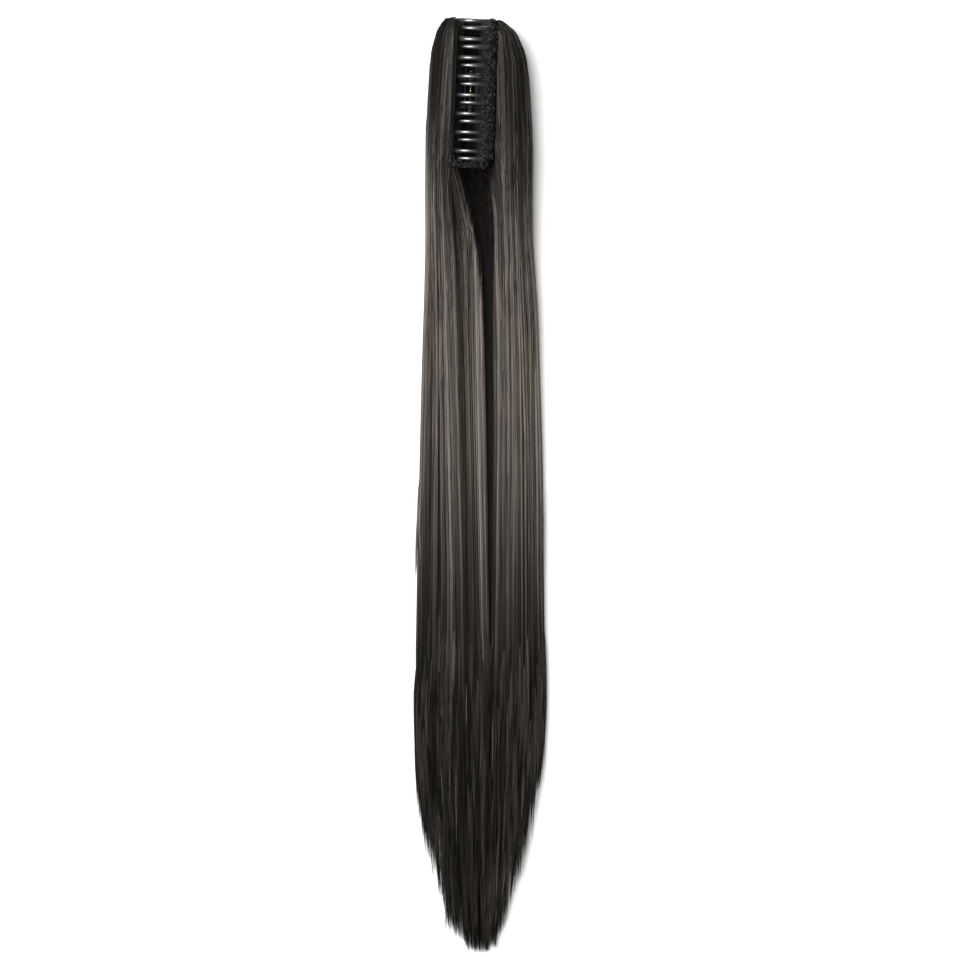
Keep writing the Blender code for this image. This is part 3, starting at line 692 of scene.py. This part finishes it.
def growStrands(side, seed, lanes):
    # Lane = the clump's lane + the strand's place in the clump + slow waves of lock and clump.
    # A clump is darker where it lies deeper, a painted shade, and its strands come together in a point at its
    # end.
    rng = np.random.default_rng(seed)
    shared = np.random.default_rng(900 + side)  # the clumps are the same for every piece of one half
    count, locks = strands["count"][side] // 2, strands["locks"][side]
    clumps = locks * strands["clumpsPerLock"]
    clumpLane = np.arange(clumps) + 0.5 + strands["clumpScatter"] * shared.standard_normal(clumps)
    clumpLane = clumpLane / clumps
    clumpShade = shared.normal(0, strands["clumpShade"], clumps)
    clumpDepth = strands["clumpDepth"] * shared.random(clumps) ** 1.3
    lockShade = shared.normal(0, strands["lockShade"], locks)
    lockDepth = strands["lockDepth"] * shared.random(locks)
    clumpEnd = shared.normal(0.0, strands["clumpEndScatter"], clumps)
    clumpSeed, lockSeed = shared.integers(1 << 30, size=2)
    clump = rng.choice(np.flatnonzero((clumpLane >= lanes[0]) & (clumpLane < lanes[1])), count)
    lock = clump // strands["clumpsPerLock"]
    spread = rng.normal(0, strands["clumpSpread"], count)
    place = spread / clumps
    inset = clumpDepth[clump] + lockDepth[lock] + strands["looseDepth"] * rng.random(count) ** 2
    inset = inset + strands["roundDepth"] * (spread / strands["clumpSpread"]) ** 2
    inset = np.minimum(inset, strands["deepest"]) - strands["proud"]
    laneMiddle = np.clip(clumpLane[clump] + place, 0.002, 0.998)
    end = strandEnds(side, laneMiddle, clumpEnd[clump] + rng.normal(0, strands["endScatter"], count))
    ragged = rng.uniform(*strands["clumpRagged"], clumps)[clump] + rng.exponential(strands["ragged"], count)
    end = np.maximum(end + ragged, tipY[side] + 0.004 * rng.random(count))
    early = rng.random(count) < strands["early"]
    end = np.where(early, end + rng.uniform(*strands["earlyBy"], count), end)
    fromEnd = rng.random(count) < strands["fromTopEnd"]
    topEnd = half * 0.985
    start = np.where(fromEnd, topEnd - 0.003 * rng.random(count), rng.uniform(-half, topEnd, count))
    start = np.maximum(start, end + strands["shortest"])
    pull = np.where(fromEnd, 0, rng.uniform(*strands["pull"], count))
    lean = rng.normal(0, strands["lean"], count)[:, None]

    def lane(y, share):
        gatherFrom = strands["gatherFrom"]
        gather = 1 - strands["gather"] * smoothStep((share - gatherFrom) / (1 - gatherFrom))
        middle = clumpLane[clump][:, None] + lean * (share - 0.3)
        middle = middle + laneWave(clumpSeed, clump, clumps, y, *strands["clumpWave"])
        middle = middle + laneWave(lockSeed, lock, locks, y, *strands["lockWave"])
        return middle + place[:, None] * gather

    edge = np.radians(strands["edge"][side] + strands["edgeSpread"] * rng.random(count) ** 1.5)
    sink = strands["rootDepth"] * (pull > 0)
    path = strandPaths(side, lane, pull, start, end, inset, sink, edge, strands["segments"])
    thick = rng.uniform(*strands["radius"], count)[:, None]
    share = (np.arange(strands["segments"] + 1) / strands["segments"])[None]
    radius = thick * np.minimum(1, 0.25 + 6 * share) * (1 - 0.85 * smoothStep((share - 0.7) / 0.3))
    path[..., 2] = np.maximum(path[..., 2], radius + 0.0001)
    shade = strands["shade"] + clumpShade[clump] + lockShade[lock]
    shade = shade + rng.normal(0, strands["strandShade"], count)
    # painted shade: the deeper a strand lies, the darker
    shade = shade - strands["paintedDepthShade"] * np.clip((inset + strands["proud"]) / 0.003, 0, 1)
    # painted sheen and shade along the tail and in broad patches, with the locks' own tones
    shade = shade[:, None] + tonesAndPaintedLightAt(path[..., 0], path[..., 1])
    # painted shade: strands that start on the net are darker near their roots, where they come out beside the
    # clip
    root = np.exp(-(start[:, None] - path[..., 1]) / strands["rootReach"]) * (pull > 0)[:, None]
    shade = shade - strands["paintedRootShade"] * root
    # painted shade: strands past a half's upper edge, down in the valley, are darkened
    shade = shade - strands["paintedValleyShade"] * pastEdge(side, path[..., 0], path[..., 1], 0.0022)
    return path, radius, np.clip(shade, 0.0, 1.0), rng.uniform(0, 2 * np.pi, count)


def growWisps(side, seed):
    # The strands of a wisp share a lane, an end and a shade, and come together: place · (1 − 0.9 · step).
    rng = np.random.default_rng(seed)
    count, each = wisps["count"], wisps["strandsEach"]
    wispLane = rng.uniform(*wisps["lanes"], count)
    onOutline = strandEnds(side, wispLane, rng.normal(*wisps["pastOutline"], count))
    freeEnd = np.where(rng.random(count) < wisps["atTip"], tipY[side], rng.uniform(*wisps["ends"], count))
    wispEnd = np.maximum(freeEnd, onOutline) + rng.normal(0, wisps["endScatter"], count)
    wispStart = wispEnd + rng.uniform(*wisps["lengths"], count)
    wispLean = wisps["lean"] * rng.normal(0, 1, count)
    wispShade = wisps["lighter"] + rng.normal(0, wisps["shade"], count)
    wispInset = -strands["proud"] - wisps["lifted"] * rng.random(count)
    wisp = np.repeat(np.arange(count), each)
    place = rng.normal(0, wisps["spread"], len(wisp))
    start = wispStart[wisp] + rng.uniform(0, wisps["rootScatter"], len(wisp))
    end = np.maximum(wispEnd[wisp] + np.abs(rng.normal(0, wisps["ragged"], len(wisp))), tipY[side])

    def lane(_, share):
        gather = 1 - 0.9 * smoothStep((share - 0.3) / 0.7)
        return wispLane[wisp][:, None] + wispLean[wisp][:, None] * share ** 2 + place[:, None] * gather

    still = np.zeros(len(wisp))
    sink = still + wisps["rootDepth"]
    path = strandPaths(side, lane, still, start, end, wispInset[wisp], sink, still, wisps["segments"])
    share = (np.arange(wisps["segments"] + 1) / wisps["segments"])[None]
    thick = rng.uniform(*wisps["radius"], len(wisp))[:, None]
    radius = thick * np.minimum(1, 0.2 + 2.5 * share) * (1 - 0.85 * smoothStep((share - 0.6) / 0.4))
    path[..., 2] = np.maximum(path[..., 2], radius + 0.0001)
    own = wispShade[wisp] + rng.normal(0, wisps["strandShade"], len(wisp))
    grown = wisps["shadeAtRoot"] + (1 - wisps["shadeAtRoot"]) * share  # the tone comes in from the root on
    shade = strands["shade"] + own[:, None] * grown + wisps["tipLighter"] * share
    # the same painted sheen and shade by place as on the long strands
    shade = shade + tonesAndPaintedLightAt(path[..., 0], path[..., 1])
    return path, radius, np.clip(shade, 0.0, 1.0), rng.uniform(0, 2 * np.pi, len(wisp))


def strandMesh(name, grown, material):
    path, radius, shade, phase = grown
    count, rings, _ = path.shape
    points = tubePoints(path, radius, 3, phase=phase)
    faces = manyFaces(ringFaces(rings, 3), count, rings * 3)
    attributes = {"shade": np.repeat(shade[..., None], 3, axis=-1)}
    return putMesh(name, points, faces, material, attributes)


wisps = {
    "count": 290,
    "strandsEach": 11,
    "segments": 5,
    "ends": (-0.548, -0.405),
    "atTip": 0.30,
    "lengths": (0.026, 0.062),
    "spread": 0.0075,
    "lean": 0.016,
    "lanes": (0.02, 0.99),
    "pastOutline": (0.0004, 0.0010),  # mean and scatter
    "endScatter": 0.003,
    "rootScatter": 0.012,
    "ragged": 0.004,
    "lifted": 0.0006,
    "rootDepth": 0.0022,
    "radius": (0.00011, 0.00023),
    "shade": 0.20,
    "strandShade": 0.06,
    "shadeAtRoot": 0.25,
    "lighter": 0.09,
    "tipLighter": 0.06,
}
half = form["jawLength"] / 2
hairPieces = {-1: [], 1: []}
# the bodies take the darker copy of the hair's finish, painted shade under the strands
hairPieces[-1].append(makeCore("hairLeftBody", -1, hairInShadeFinish))
hairPieces[1].append(makeCore("hairRightBody", 1, hairInShadeFinish))
print("hair bodies made")

pieceLanes = (("Outer", 40, (0.0, 0.5)), ("Inner", 47, (0.5, 1.0)))  # name, seed, lanes
for side, sideName in ((-1, "Left"), (1, "Right")):
    for lanesName, seed, lanes in pieceLanes:
        grown = growStrands(side, seed + side, lanes)
        hairPieces[side].append(strandMesh(f"hair{sideName}{lanesName}Strands", grown, strandFinish))
    grown = growWisps(side, 70 + side)
    hairPieces[side].append(strandMesh(f"hair{sideName}Ends", grown, strandFinish))
    print("strands of the", sideName.lower(), "half made")


def slabGrid(around, along, edge=16):
    # u there and back as a sine, w = ±(1 − |u|^edge)^½, thinner at both ends by (1 − 0.97 |v|^edge)^½.
    there = np.sin(np.linspace(-np.pi / 2, np.pi / 2, around))
    u = np.concatenate([there, there[::-1][1:-1]])
    w = np.sqrt(np.maximum(1 - np.abs(u) ** edge, 0))
    w[around:] *= -1
    v = np.sin(np.linspace(-np.pi / 2, np.pi / 2, along))[:, None]
    w = w[None] * np.sqrt(1 - 0.97 * np.abs(v) ** edge)
    return np.broadcast_to(u, w.shape), np.broadcast_to(v, w.shape), w


def slabWithStrands(slab, path, radius, rng):
    # The slab's own shell, and a three-sided tube along each path.
    count, rings, _ = path.shape
    tubes = tubePoints(path, radius, 3, phase=rng.uniform(0, 6, count))
    tubeFaces = manyFaces(ringFaces(rings, 3), count, rings * 3)
    return joined([(slab, ringFaces(*slab.shape[:2])), (tubes, tubeFaces)])


valley = {
    "under": 0.006,  # how far it reaches under each half
    "heights": ((0.0, 0.012), (0.04, 0.008), (0.15, 0.0055), (0.6, 0.005), (1.0, 0.0035)),
    "strands": 360,
    "radius": (0.00012, 0.00026),
    "lengths": (0.15, 0.46),
    "endY": -0.50,
    "shade": 0.2,
    "lock": (0.0157, -0.066, 0.0020, 0.02, 1.4),  # a lighter lock: x, y, half width, half length, shade
}


def makeValley(name, material):
    # A slab between the two halves: x even across, z = height · (1 + w) / 2, and strands over it.
    rng = np.random.default_rng(8)
    u, v, w = slabGrid(24, 60, 8)
    topY = form["splitY"] - 0.0002
    y = topY + (valley["endY"] - topY) * (1 + v) / 2
    left = besideParting(-1, y, valleyRows) - valley["under"]
    right = besideParting(1, y, valleyRows) + valley["under"]
    height = readRows(valley["heights"], alongTail(y))[..., 0]
    slab = np.stack([(left + right) / 2 + (right - left) / 2 * u, y, 0.0004 + height * (1 + w) / 2], axis=-1)
    count = valley["strands"]
    share = (np.arange(9) / 8)[None]
    start = topY - 0.12 * rng.random((count, 1)) ** 2
    end = np.maximum(start - rng.uniform(*valley["lengths"], (count, 1)), valley["endY"])
    y = start + (end - start) * share
    across = rng.random((count, 1)) + 0.04 * np.sin(y / 0.03 + rng.uniform(0, 6, (count, 1)))
    left = besideParting(-1, y, valleyRows) - valley["under"] / 2
    right = besideParting(1, y, valleyRows) + valley["under"] / 2
    x = left + (right - left) * np.clip(across, 0, 1)
    z = readRows(valley["heights"], alongTail(y))[..., 0] * (0.95 + 0.30 * rng.random((count, 1)))
    radius = rng.uniform(*valley["radius"], (count, 1)) * (1 - 0.8 * smoothStep((share - 0.7) / 0.3))
    points, faces = slabWithStrands(slab, np.stack([x, y, z], axis=-1), radius, rng)
    lockX, lockY, halfWidth, halfLength, lighter = valley["lock"]
    away = ((points[:, 0] - lockX) / halfWidth) ** 2 + ((points[:, 1] - lockY) / halfLength) ** 2
    return putMesh(name, points, faces, material, {"shade": valley["shade"] + lighter * np.exp(-away)})


flap = {
    "halfWidth": 0.0086,
    "thickness": 0.0022,
    "strands": 420,
    "radius": (0.00014, 0.00028),
    "rise": 0.011,  # towards the clip's top end, over riseLength
    "riseLength": 0.016,
    "shade": 0.3,
}


def flapRise(y):
    # rise · smooth step of the way from riseLength before the top end
    return flap["rise"] * smoothStep((y - half + flap["riseLength"]) / flap["riseLength"])


def makeFlap(name, material):
    # A flat slab across the gap, and strands along y over it: z = slab's top + a little, x even across it.
    rng = np.random.default_rng(5)
    u, v, w = slabGrid(20, 24, 8)
    reachY = half + 0.0003
    z = 0.0003 + flapRise(v * reachY) + flap["thickness"] / 2 * (1 + w)
    slab = np.stack([u * flap["halfWidth"], v * reachY, z], axis=-1)
    count = flap["strands"]
    share = (np.arange(9) / 8)[None]
    across = rng.uniform(-0.97, 0.97, (count, 1)) * flap["halfWidth"]
    waves = rng.uniform(0.5, 1.5, (count, 1))
    sway = 0.0004 * np.sin(2 * np.pi * share * waves + rng.uniform(0, 6, (count, 1)))
    x = np.clip(across + sway, -flap["halfWidth"], flap["halfWidth"])
    y = reachY * (1 - 2 * share) + 0 * x
    height = flap["thickness"] * (0.75 + 0.55 * rng.random((count, 1))) + flapRise(y)
    radius = rng.uniform(*flap["radius"], (count, 1)) * np.ones_like(x)
    points, faces = slabWithStrands(slab, np.stack([x, y, height], axis=-1), radius, rng)
    return putMesh(name, points, faces, material, {"shade": np.full(len(points), flap["shade"])})


# the valley floor and the back flap take the same darker finish, painted shade in the valley and inside the
# clip
valleyFloor = makeValley("hairValleyFloor", hairInShadeFinish)
backFlap = makeFlap("hairBackFlap", hairInShadeFinish)
print("valley floor and back flap made")


claw = {
    "halfWidth": 0.0145,
    "halfHeight": 0.0133,
    "wall": 0.0018,
    "wallDegrees": (50, 158),  # from the clip's crown
    "teeth": 8,
    "toothWidth": 0.0032,
    "toothThickness": 0.0022,
    "toothTip": 0.66,
    "toothDegrees": (62, -31),
    "firstTooth": 0.0448,
    "stagger": 0.0049,
    "knuckleRadius": 0.0032,
    "knuckleLength": 0.0029,
    "bore": 0.0012,
    "roundedEdge": 0.0004,
    "betweenKnuckles": 0.0003,
    "springRoom": 0.0122,
    "armStart": 0.0014,  # from the pin's axis
    "footReach": 0.0062,
    "footThickness": 0.0016,
    "leverStart": 0.0044,
    "leverReach": 0.017,
    "leverHalfWidth": 0.015,
    "leverThickness": 0.002,
    "leverDegrees": 42,
}


def onEllipse(angle, out):
    # x = −(a + out) · sin angle, z = b + (b + out) · cos angle, from the pin.
    x = -(claw["halfWidth"] + out) * np.sin(angle)
    z = claw["halfHeight"] + (claw["halfHeight"] + out) * np.cos(angle)
    return x, z


def archedSlab(degrees, middle, thickness, y0, y1, around=40, along=30, edge=16):
    # A slab along the ellipse: angle even over u, y even over v, out = middle + w · half the thickness.
    u, v, w = slabGrid(around, along, edge)
    angle = np.radians((degrees[0] + degrees[1]) / 2 + (degrees[1] - degrees[0]) / 2 * u)
    x, z = onEllipse(angle, middle + w * thickness / 2)
    return np.stack([x, (y0 + y1) / 2 + (y1 - y0) / 2 * v, z], axis=-1), ringFaces(*w.shape)


def leverSlab(start, end, y0, y1, thickness, degrees, around=14, along=16):
    # A flat slab that runs out from the pin at an angle from straight down, y over u and reach over v.
    u, v, w = slabGrid(around, along, 10)
    reach = (start + end) / 2 + (end - start) / 2 * v
    off = w * thickness / 2
    turn = math.radians(degrees)
    x = -reach * math.sin(turn) + off * math.cos(turn)
    z = -reach * math.cos(turn) - off * math.sin(turn)
    return np.stack([x, (y0 + y1) / 2 + (y1 - y0) / 2 * u, z], axis=-1), ringFaces(*w.shape)


def toothShell(y):
    # A rounded bar carried over the crown, its size 1 − (1 − tip) · s², and its last tenth a round end.
    rings, sides = 26, 16
    share = (1 - (1 - np.linspace(0, 1, rings)) ** 1.6)[:, None]
    angle = np.radians(claw["toothDegrees"][0] + (claw["toothDegrees"][1] - claw["toothDegrees"][0]) * share)
    blunt = np.sqrt(np.clip(1 - np.clip((share - 0.90) / 0.1, 0, 1) ** 2, 0.004, 1))
    size = (1 - (1 - claw["toothTip"]) * share ** 2) * blunt
    turn = 2 * np.pi * np.arange(sides)[None] / sides
    cosine, sine = np.cos(turn), np.sin(turn)
    across = np.sign(cosine) * np.abs(cosine) ** 0.8
    out = np.sign(sine) * np.abs(sine) ** 0.8
    x, z = onEllipse(angle, claw["toothThickness"] / 2 * size * out)
    points = np.stack([x, y + claw["toothWidth"] / 2 * size * across, z], axis=-1)
    return points, ringFaces(rings, sides)


def turnedShell(profile, sides=28):
    # Turned about y: (r cos t, y, r sin t).
    y, radius = np.array(profile, float).T
    turn = 2 * np.pi * np.arange(sides) / sides
    x, z = radius[:, None] * np.cos(turn), radius[:, None] * np.sin(turn)
    points = np.stack([x, np.broadcast_to(y[:, None], x.shape), z], axis=-1)
    return points, ringFaces(len(profile), sides)


def toothShells():
    # Teeth of the left jaw, from the pin.
    pitch = (2 * claw["firstTooth"] - claw["stagger"]) / (claw["teeth"] - 1)
    return [toothShell(claw["firstTooth"] - k * pitch) for k in range(claw["teeth"])]


def wallShells():
    # Wall, knuckles with their arms, and lever of the left jaw, from the pin.
    shells = [archedSlab(claw["wallDegrees"], 0, claw["wall"], -half, half, 32, 30)]
    inner = claw["springRoom"] / 2
    outer = inner + claw["knuckleLength"] + claw["betweenKnuckles"]
    radius, length = claw["knuckleRadius"], claw["knuckleLength"]
    for start in (inner, -outer - length):
        end = start + length
        bore, edge = claw["bore"], claw["roundedEdge"]
        profile = ((start, bore), (start, radius - edge), (start + edge, radius),
                   (end - edge, radius), (end, radius - edge), (end, bore))
        shells.append(turnedShell(profile))
        x, z = onEllipse(math.radians(claw["wallDegrees"][1] - 4), 0)
        arm = math.degrees(math.atan2(-x, -z))
        ends = start + 0.0002, end - 0.0002
        shells.append(leverSlab(claw["armStart"], math.hypot(x, z), *ends, claw["wall"], arm))
        foot = claw["footReach"], *ends, claw["footThickness"], claw["leverDegrees"]
        shells.append(leverSlab(claw["armStart"], *foot))
    ends = -claw["leverHalfWidth"], claw["leverHalfWidth"]
    thickness, degrees = claw["leverThickness"], claw["leverDegrees"]
    shells.append(leverSlab(claw["leverStart"], claw["leverReach"], *ends, thickness, degrees, 30, 20))
    return shells


def placedShells(shells, turned):
    # From the pin to the clip's middle at table height; the right jaw is the left one turned half round.
    sign = np.array((-1, -1, 1)) if turned else np.ones(3)
    return [(points * sign + (0, 0, hingeHeight), faces) for points, faces in shells]


teethLeft = putMesh("clawLeftTeeth", *joined(placedShells(toothShells(), False)), plasticFinish)
teethRight = putMesh("clawRightTeeth", *joined(placedShells(toothShells(), True)), plasticFinish)
wallLeft = putMesh("clawLeftWall", *joined(placedShells(wallShells(), False)), dullPlasticFinish)
wallRight = putMesh("clawRightWall", *joined(placedShells(wallShells(), True)), dullPlasticFinish)
print("jaws made")

pin = {
    "radius": 0.0009,
    "headRadius": 0.0015,
    "shaft": 0.0125,
    "headLength": 0.0008,
}


def pinProfile():
    # Shaft, then a domed head at each end.
    dome = np.linspace(0, np.pi / 2, 6)
    y = pin["shaft"] + pin["headLength"] * np.concatenate([[0, 0.3], 0.3 + 0.7 * np.sin(dome[1:])])
    radius = pin["headRadius"] * np.concatenate([[1, 1], np.cos(dome[1:] * 0.95)])
    end = np.column_stack([y, radius])
    shaft = np.array([[pin["shaft"], pin["radius"]]])
    other = np.concatenate([end[::-1], shaft]) * (-1, 1)
    return np.concatenate([other, shaft, end])


hingePin = putMesh("hingePin", *joined(placedShells([turnedShell(pinProfile())], False)), brassFinish)

spring = {
    "radius": 0.0017,
    "wire": 0.0004,
    "turns": 5,
    "leg": 0.007,
    "halfLength": 0.0048,
}


def springPath():
    # A leg along the left lever, the coil (r cos t, y falling evenly, r sin t), a leg along the right lever.
    spread = math.radians(claw["leverDegrees"])
    turn = np.linspace(-spread, np.pi + spread + 2 * np.pi * spring["turns"], 22 * (spring["turns"] + 1))
    y = np.linspace(spring["halfLength"], -spring["halfLength"], len(turn))
    coil = np.stack([spring["radius"] * np.cos(turn), y, spring["radius"] * np.sin(turn)], axis=-1)
    steps = np.linspace(1, 0.12, 6)[:, None] * spring["leg"]
    left = coil[0] + steps * (-math.sin(spread), 0, -math.cos(spread))
    right = coil[-1] + steps[::-1] * (math.sin(spread), 0, -math.cos(spread))
    return np.concatenate([left, coil, right])


wireRadius = np.array([[spring["wire"]]])
springTube = tubePoints(springPath()[None], wireRadius, 8, guide=(0, 1, 0), phase=np.zeros(1))
springRings = springTube.shape[1]
springShells = placedShells([(springTube, ringFaces(springRings, 8))], False)
coilSpring = putMesh("coilSpring", *joined(springShells), springFinish)
print("pin and spring made")


net = {
    "middle": 0.002,
    "thickness": 0.0012,
    "degrees": (44, 150),
    "overhang": -0.0016,
    "hemWidth": 0.0032,
    "hemDegrees": (75, -42),
}
yarn = {
    "radius": 0.00022,
    "loopRadius": 0.0014,
    "pitch": 0.0031,
    "spread": 0.35,
    "rightRows": (33, 41, 50, 60),  # degrees from the crown
    "leftRows": (38, 46),
    "hemRows": (58, -46, 14),  # from, to, how many
}

netHalf = half + net["overhang"]
netShell = [archedSlab(net["degrees"], net["middle"], net["thickness"], -netHalf, netHalf, 40, 40)]
netLeft = putMesh("netLeft", *joined(placedShells(netShell, False)), netFinish)
netRight = putMesh("netRight", *joined(placedShells(netShell, True)), netFinish)
hemEnd = form["splitY"] - form["halfGap"]
hemStart = hemEnd - net["hemWidth"]
hemShell = [archedSlab(net["hemDegrees"], net["middle"], net["thickness"], hemStart, hemEnd, 40, 12, 6)]
netHem = putMesh("netHem", *joined(placedShells(hemShell, False)), netFinish)


def crochet(name, side, rows, y0, y1, seed, material):
    # Loops on the net: middle + r (cos t · along + sin t · around) + a wave outwards, each turned its way.
    rng = np.random.default_rng(seed)
    perRow = max(int(abs(y1 - y0) / yarn["pitch"]), 1)
    degrees = np.repeat(np.array(rows, float), perRow)
    everySecond = np.repeat(np.arange(len(rows)) % 2, perRow)
    place = (np.tile(np.arange(perRow) + 0.5, len(rows)) + 0.5 * everySecond) / perRow
    count = len(degrees)
    y = y0 + (y1 - y0) * place + yarn["pitch"] * yarn["spread"] * rng.uniform(-0.6, 0.6, count)
    angle = np.radians(degrees + 3.5 * rng.uniform(-1, 1, count))
    out = net["middle"] + net["thickness"] / 2 + 0.0001
    cx, cz = onEllipse(angle, out)
    nextX, nextZ = onEllipse(angle + 0.01, out)
    aroundX, aroundZ = unit(np.stack([nextX - cx, nextZ - cz], axis=-1)).T
    t = 2 * np.pi * np.arange(11)[None] / 11
    size = yarn["loopRadius"] * rng.uniform(0.75, 1.2, (count, 1))
    twist = rng.uniform(0, 2 * np.pi, (count, 1))
    u = size * np.cos(t) * rng.uniform(0.75, 1.15, (count, 1))
    v = size * np.sin(t)
    lifted = 0.35 * size * (np.sin(2 * t + twist) + np.cos(t + twist) * rng.uniform(0.2, 0.9, (count, 1)))
    a, b = u * np.cos(twist) - v * np.sin(twist), u * np.sin(twist) + v * np.cos(twist)
    x = cx[:, None] + aroundX[:, None] * a + aroundZ[:, None] * lifted
    z = cz[:, None] + aroundZ[:, None] * a - aroundX[:, None] * lifted
    path = np.stack([x, y[:, None] + b, z], axis=-1)
    radius = yarn["radius"] * rng.uniform(0.75, 1.2, (count, 1)) * np.ones_like(x)
    tubes = tubePoints(path, radius, 4, guide=(0.2, 0.1, 1), phase=np.zeros(count), closed=True)
    faces = manyFaces(ringFaces(11, 4, closed=True), count, 44)
    return putMesh(name, *joined(placedShells([(tubes, faces)], side > 0)), material)


yarnEnd = netHalf - 0.001
yarnRight = crochet("crochetRight", 1, yarn["rightRows"], -yarnEnd, yarnEnd, 21, loopFinish)
yarnLeft = crochet("crochetLeft", -1, yarn["leftRows"], -yarnEnd, yarnEnd, 22, netFinish)
hemRows = np.linspace(*yarn["hemRows"])
yarnHem = crochet("crochetHem", -1, hemRows, hemStart + 0.0006, hemEnd - 0.0002, 23, loopFinish)
print("net and yarn made")


def place(obj, body, slot, *nodes):
    if nodes:
        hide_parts(*nodes)
    if body:
        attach(obj, body)


place(wallLeft, "root", "clip", "claw_left")
place(wallRight, "right_jaw", "clip", "claw_right")
place(teethLeft, "root", "clip")
place(teethRight, "right_jaw", "clip")
place(hingePin, "root", "metal", "hinge_pin")
place(netLeft, "root", "net", "net_left")
place(netRight, "right_jaw", "net", "net_right")
place(netHem, "root", "net", "net_hem")
place(yarnRight, "right_jaw", "net")
place(yarnLeft, "root", "net")
place(yarnHem, "root", "net")
place(coilSpring, None, "metal", "spring")
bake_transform(coilSpring)

place(hairPieces[-1][0], "root", "hair", "hair_left")
place(hairPieces[1][0], None, "hair", "hair_right_top", "hair_right_tail")
for obj in hairPieces[-1][1:]:
    place(obj, "root", "hair")
for obj in hairPieces[1][1:]:
    place(obj, None, "hair")
for obj in hairPieces[1]:
    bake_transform(obj)
place(backFlap, "root", "hair")
place(valleyFloor, "root", "hair")
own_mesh(backFlap)
print("pieces ride on their bodies")


studio = {
    "floor": (0.92, 0.912, 0.90),
    "boxes": (
        {"name": "keyBox", "place": (-0.75, 0.66, 2.7), "size": (1.35, 1.30), "energy": 112},
        {"name": "stripBox", "place": (-0.45, 0.60, 2.7), "size": (3.2, 0.40), "energy": 18},
    ),
    "world": (1.0, 0.985, 0.965),
    "worldStrength": 0.32,
    "cameraPlace": (-0.0036, 0.0033, 8.0),
    "cameraTurn": 2.09,
    "viewHeight": 0.625,
}

bpy.ops.mesh.primitive_plane_add(size=12)
floor = bpy.context.object
floor.name = "floor"
floorMaterial, floorNodes, floorLinks, floorShader = newMaterial("paleFloor")
paper = stretchedNoise(floorNodes, floorLinks, (1, 1, 1), 40, 3)
darker = tuple(0.985 * value for value in studio["floor"])
paperTones = ramp(floorNodes, floorLinks, paper.outputs["Fac"], ((0.3, darker), (0.7, studio["floor"])))
floorLinks.new(paperTones.outputs["Color"], floorShader.inputs["Base Color"])
floorShader.inputs["Roughness"].default_value = 0.9
floor.data.materials.append(floorMaterial)

for box in studio["boxes"]:
    lamp = bpy.data.lights.new(box["name"], "AREA")
    lamp.shape = "RECTANGLE"
    lamp.size, lamp.size_y = box["size"]
    lamp.energy = box["energy"]
    lampObject = bpy.data.objects.new(box["name"], lamp)
    lampObject.location = box["place"]
    lampObject.visible_camera = False
    bpy.context.scene.collection.objects.link(lampObject)

world = bpy.data.worlds.new("studioWorld")
world.use_nodes = True
background = world.node_tree.nodes["Background"]
background.inputs["Color"].default_value = (*studio["world"], 1)
background.inputs["Strength"].default_value = studio["worldStrength"]
bpy.context.scene.world = world
bpy.context.scene.view_settings.view_transform = "Standard"

cameraData = bpy.data.cameras.new("camera")
cameraData.angle = 2 * math.atan(studio["viewHeight"] / 2 / (studio["cameraPlace"][2] - 0.015))
camera = bpy.data.objects.new("camera", cameraData)
camera.location = studio["cameraPlace"]
camera.rotation_euler = (0, 0, math.radians(studio["cameraTurn"]))
bpy.context.scene.collection.objects.link(camera)
bpy.context.scene.camera = camera

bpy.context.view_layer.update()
shown = [obj for obj in bpy.data.objects if obj.type == "MESH" and not obj.hide_render]
print("faces shown", sum(len(obj.data.polygons) for obj in shown))
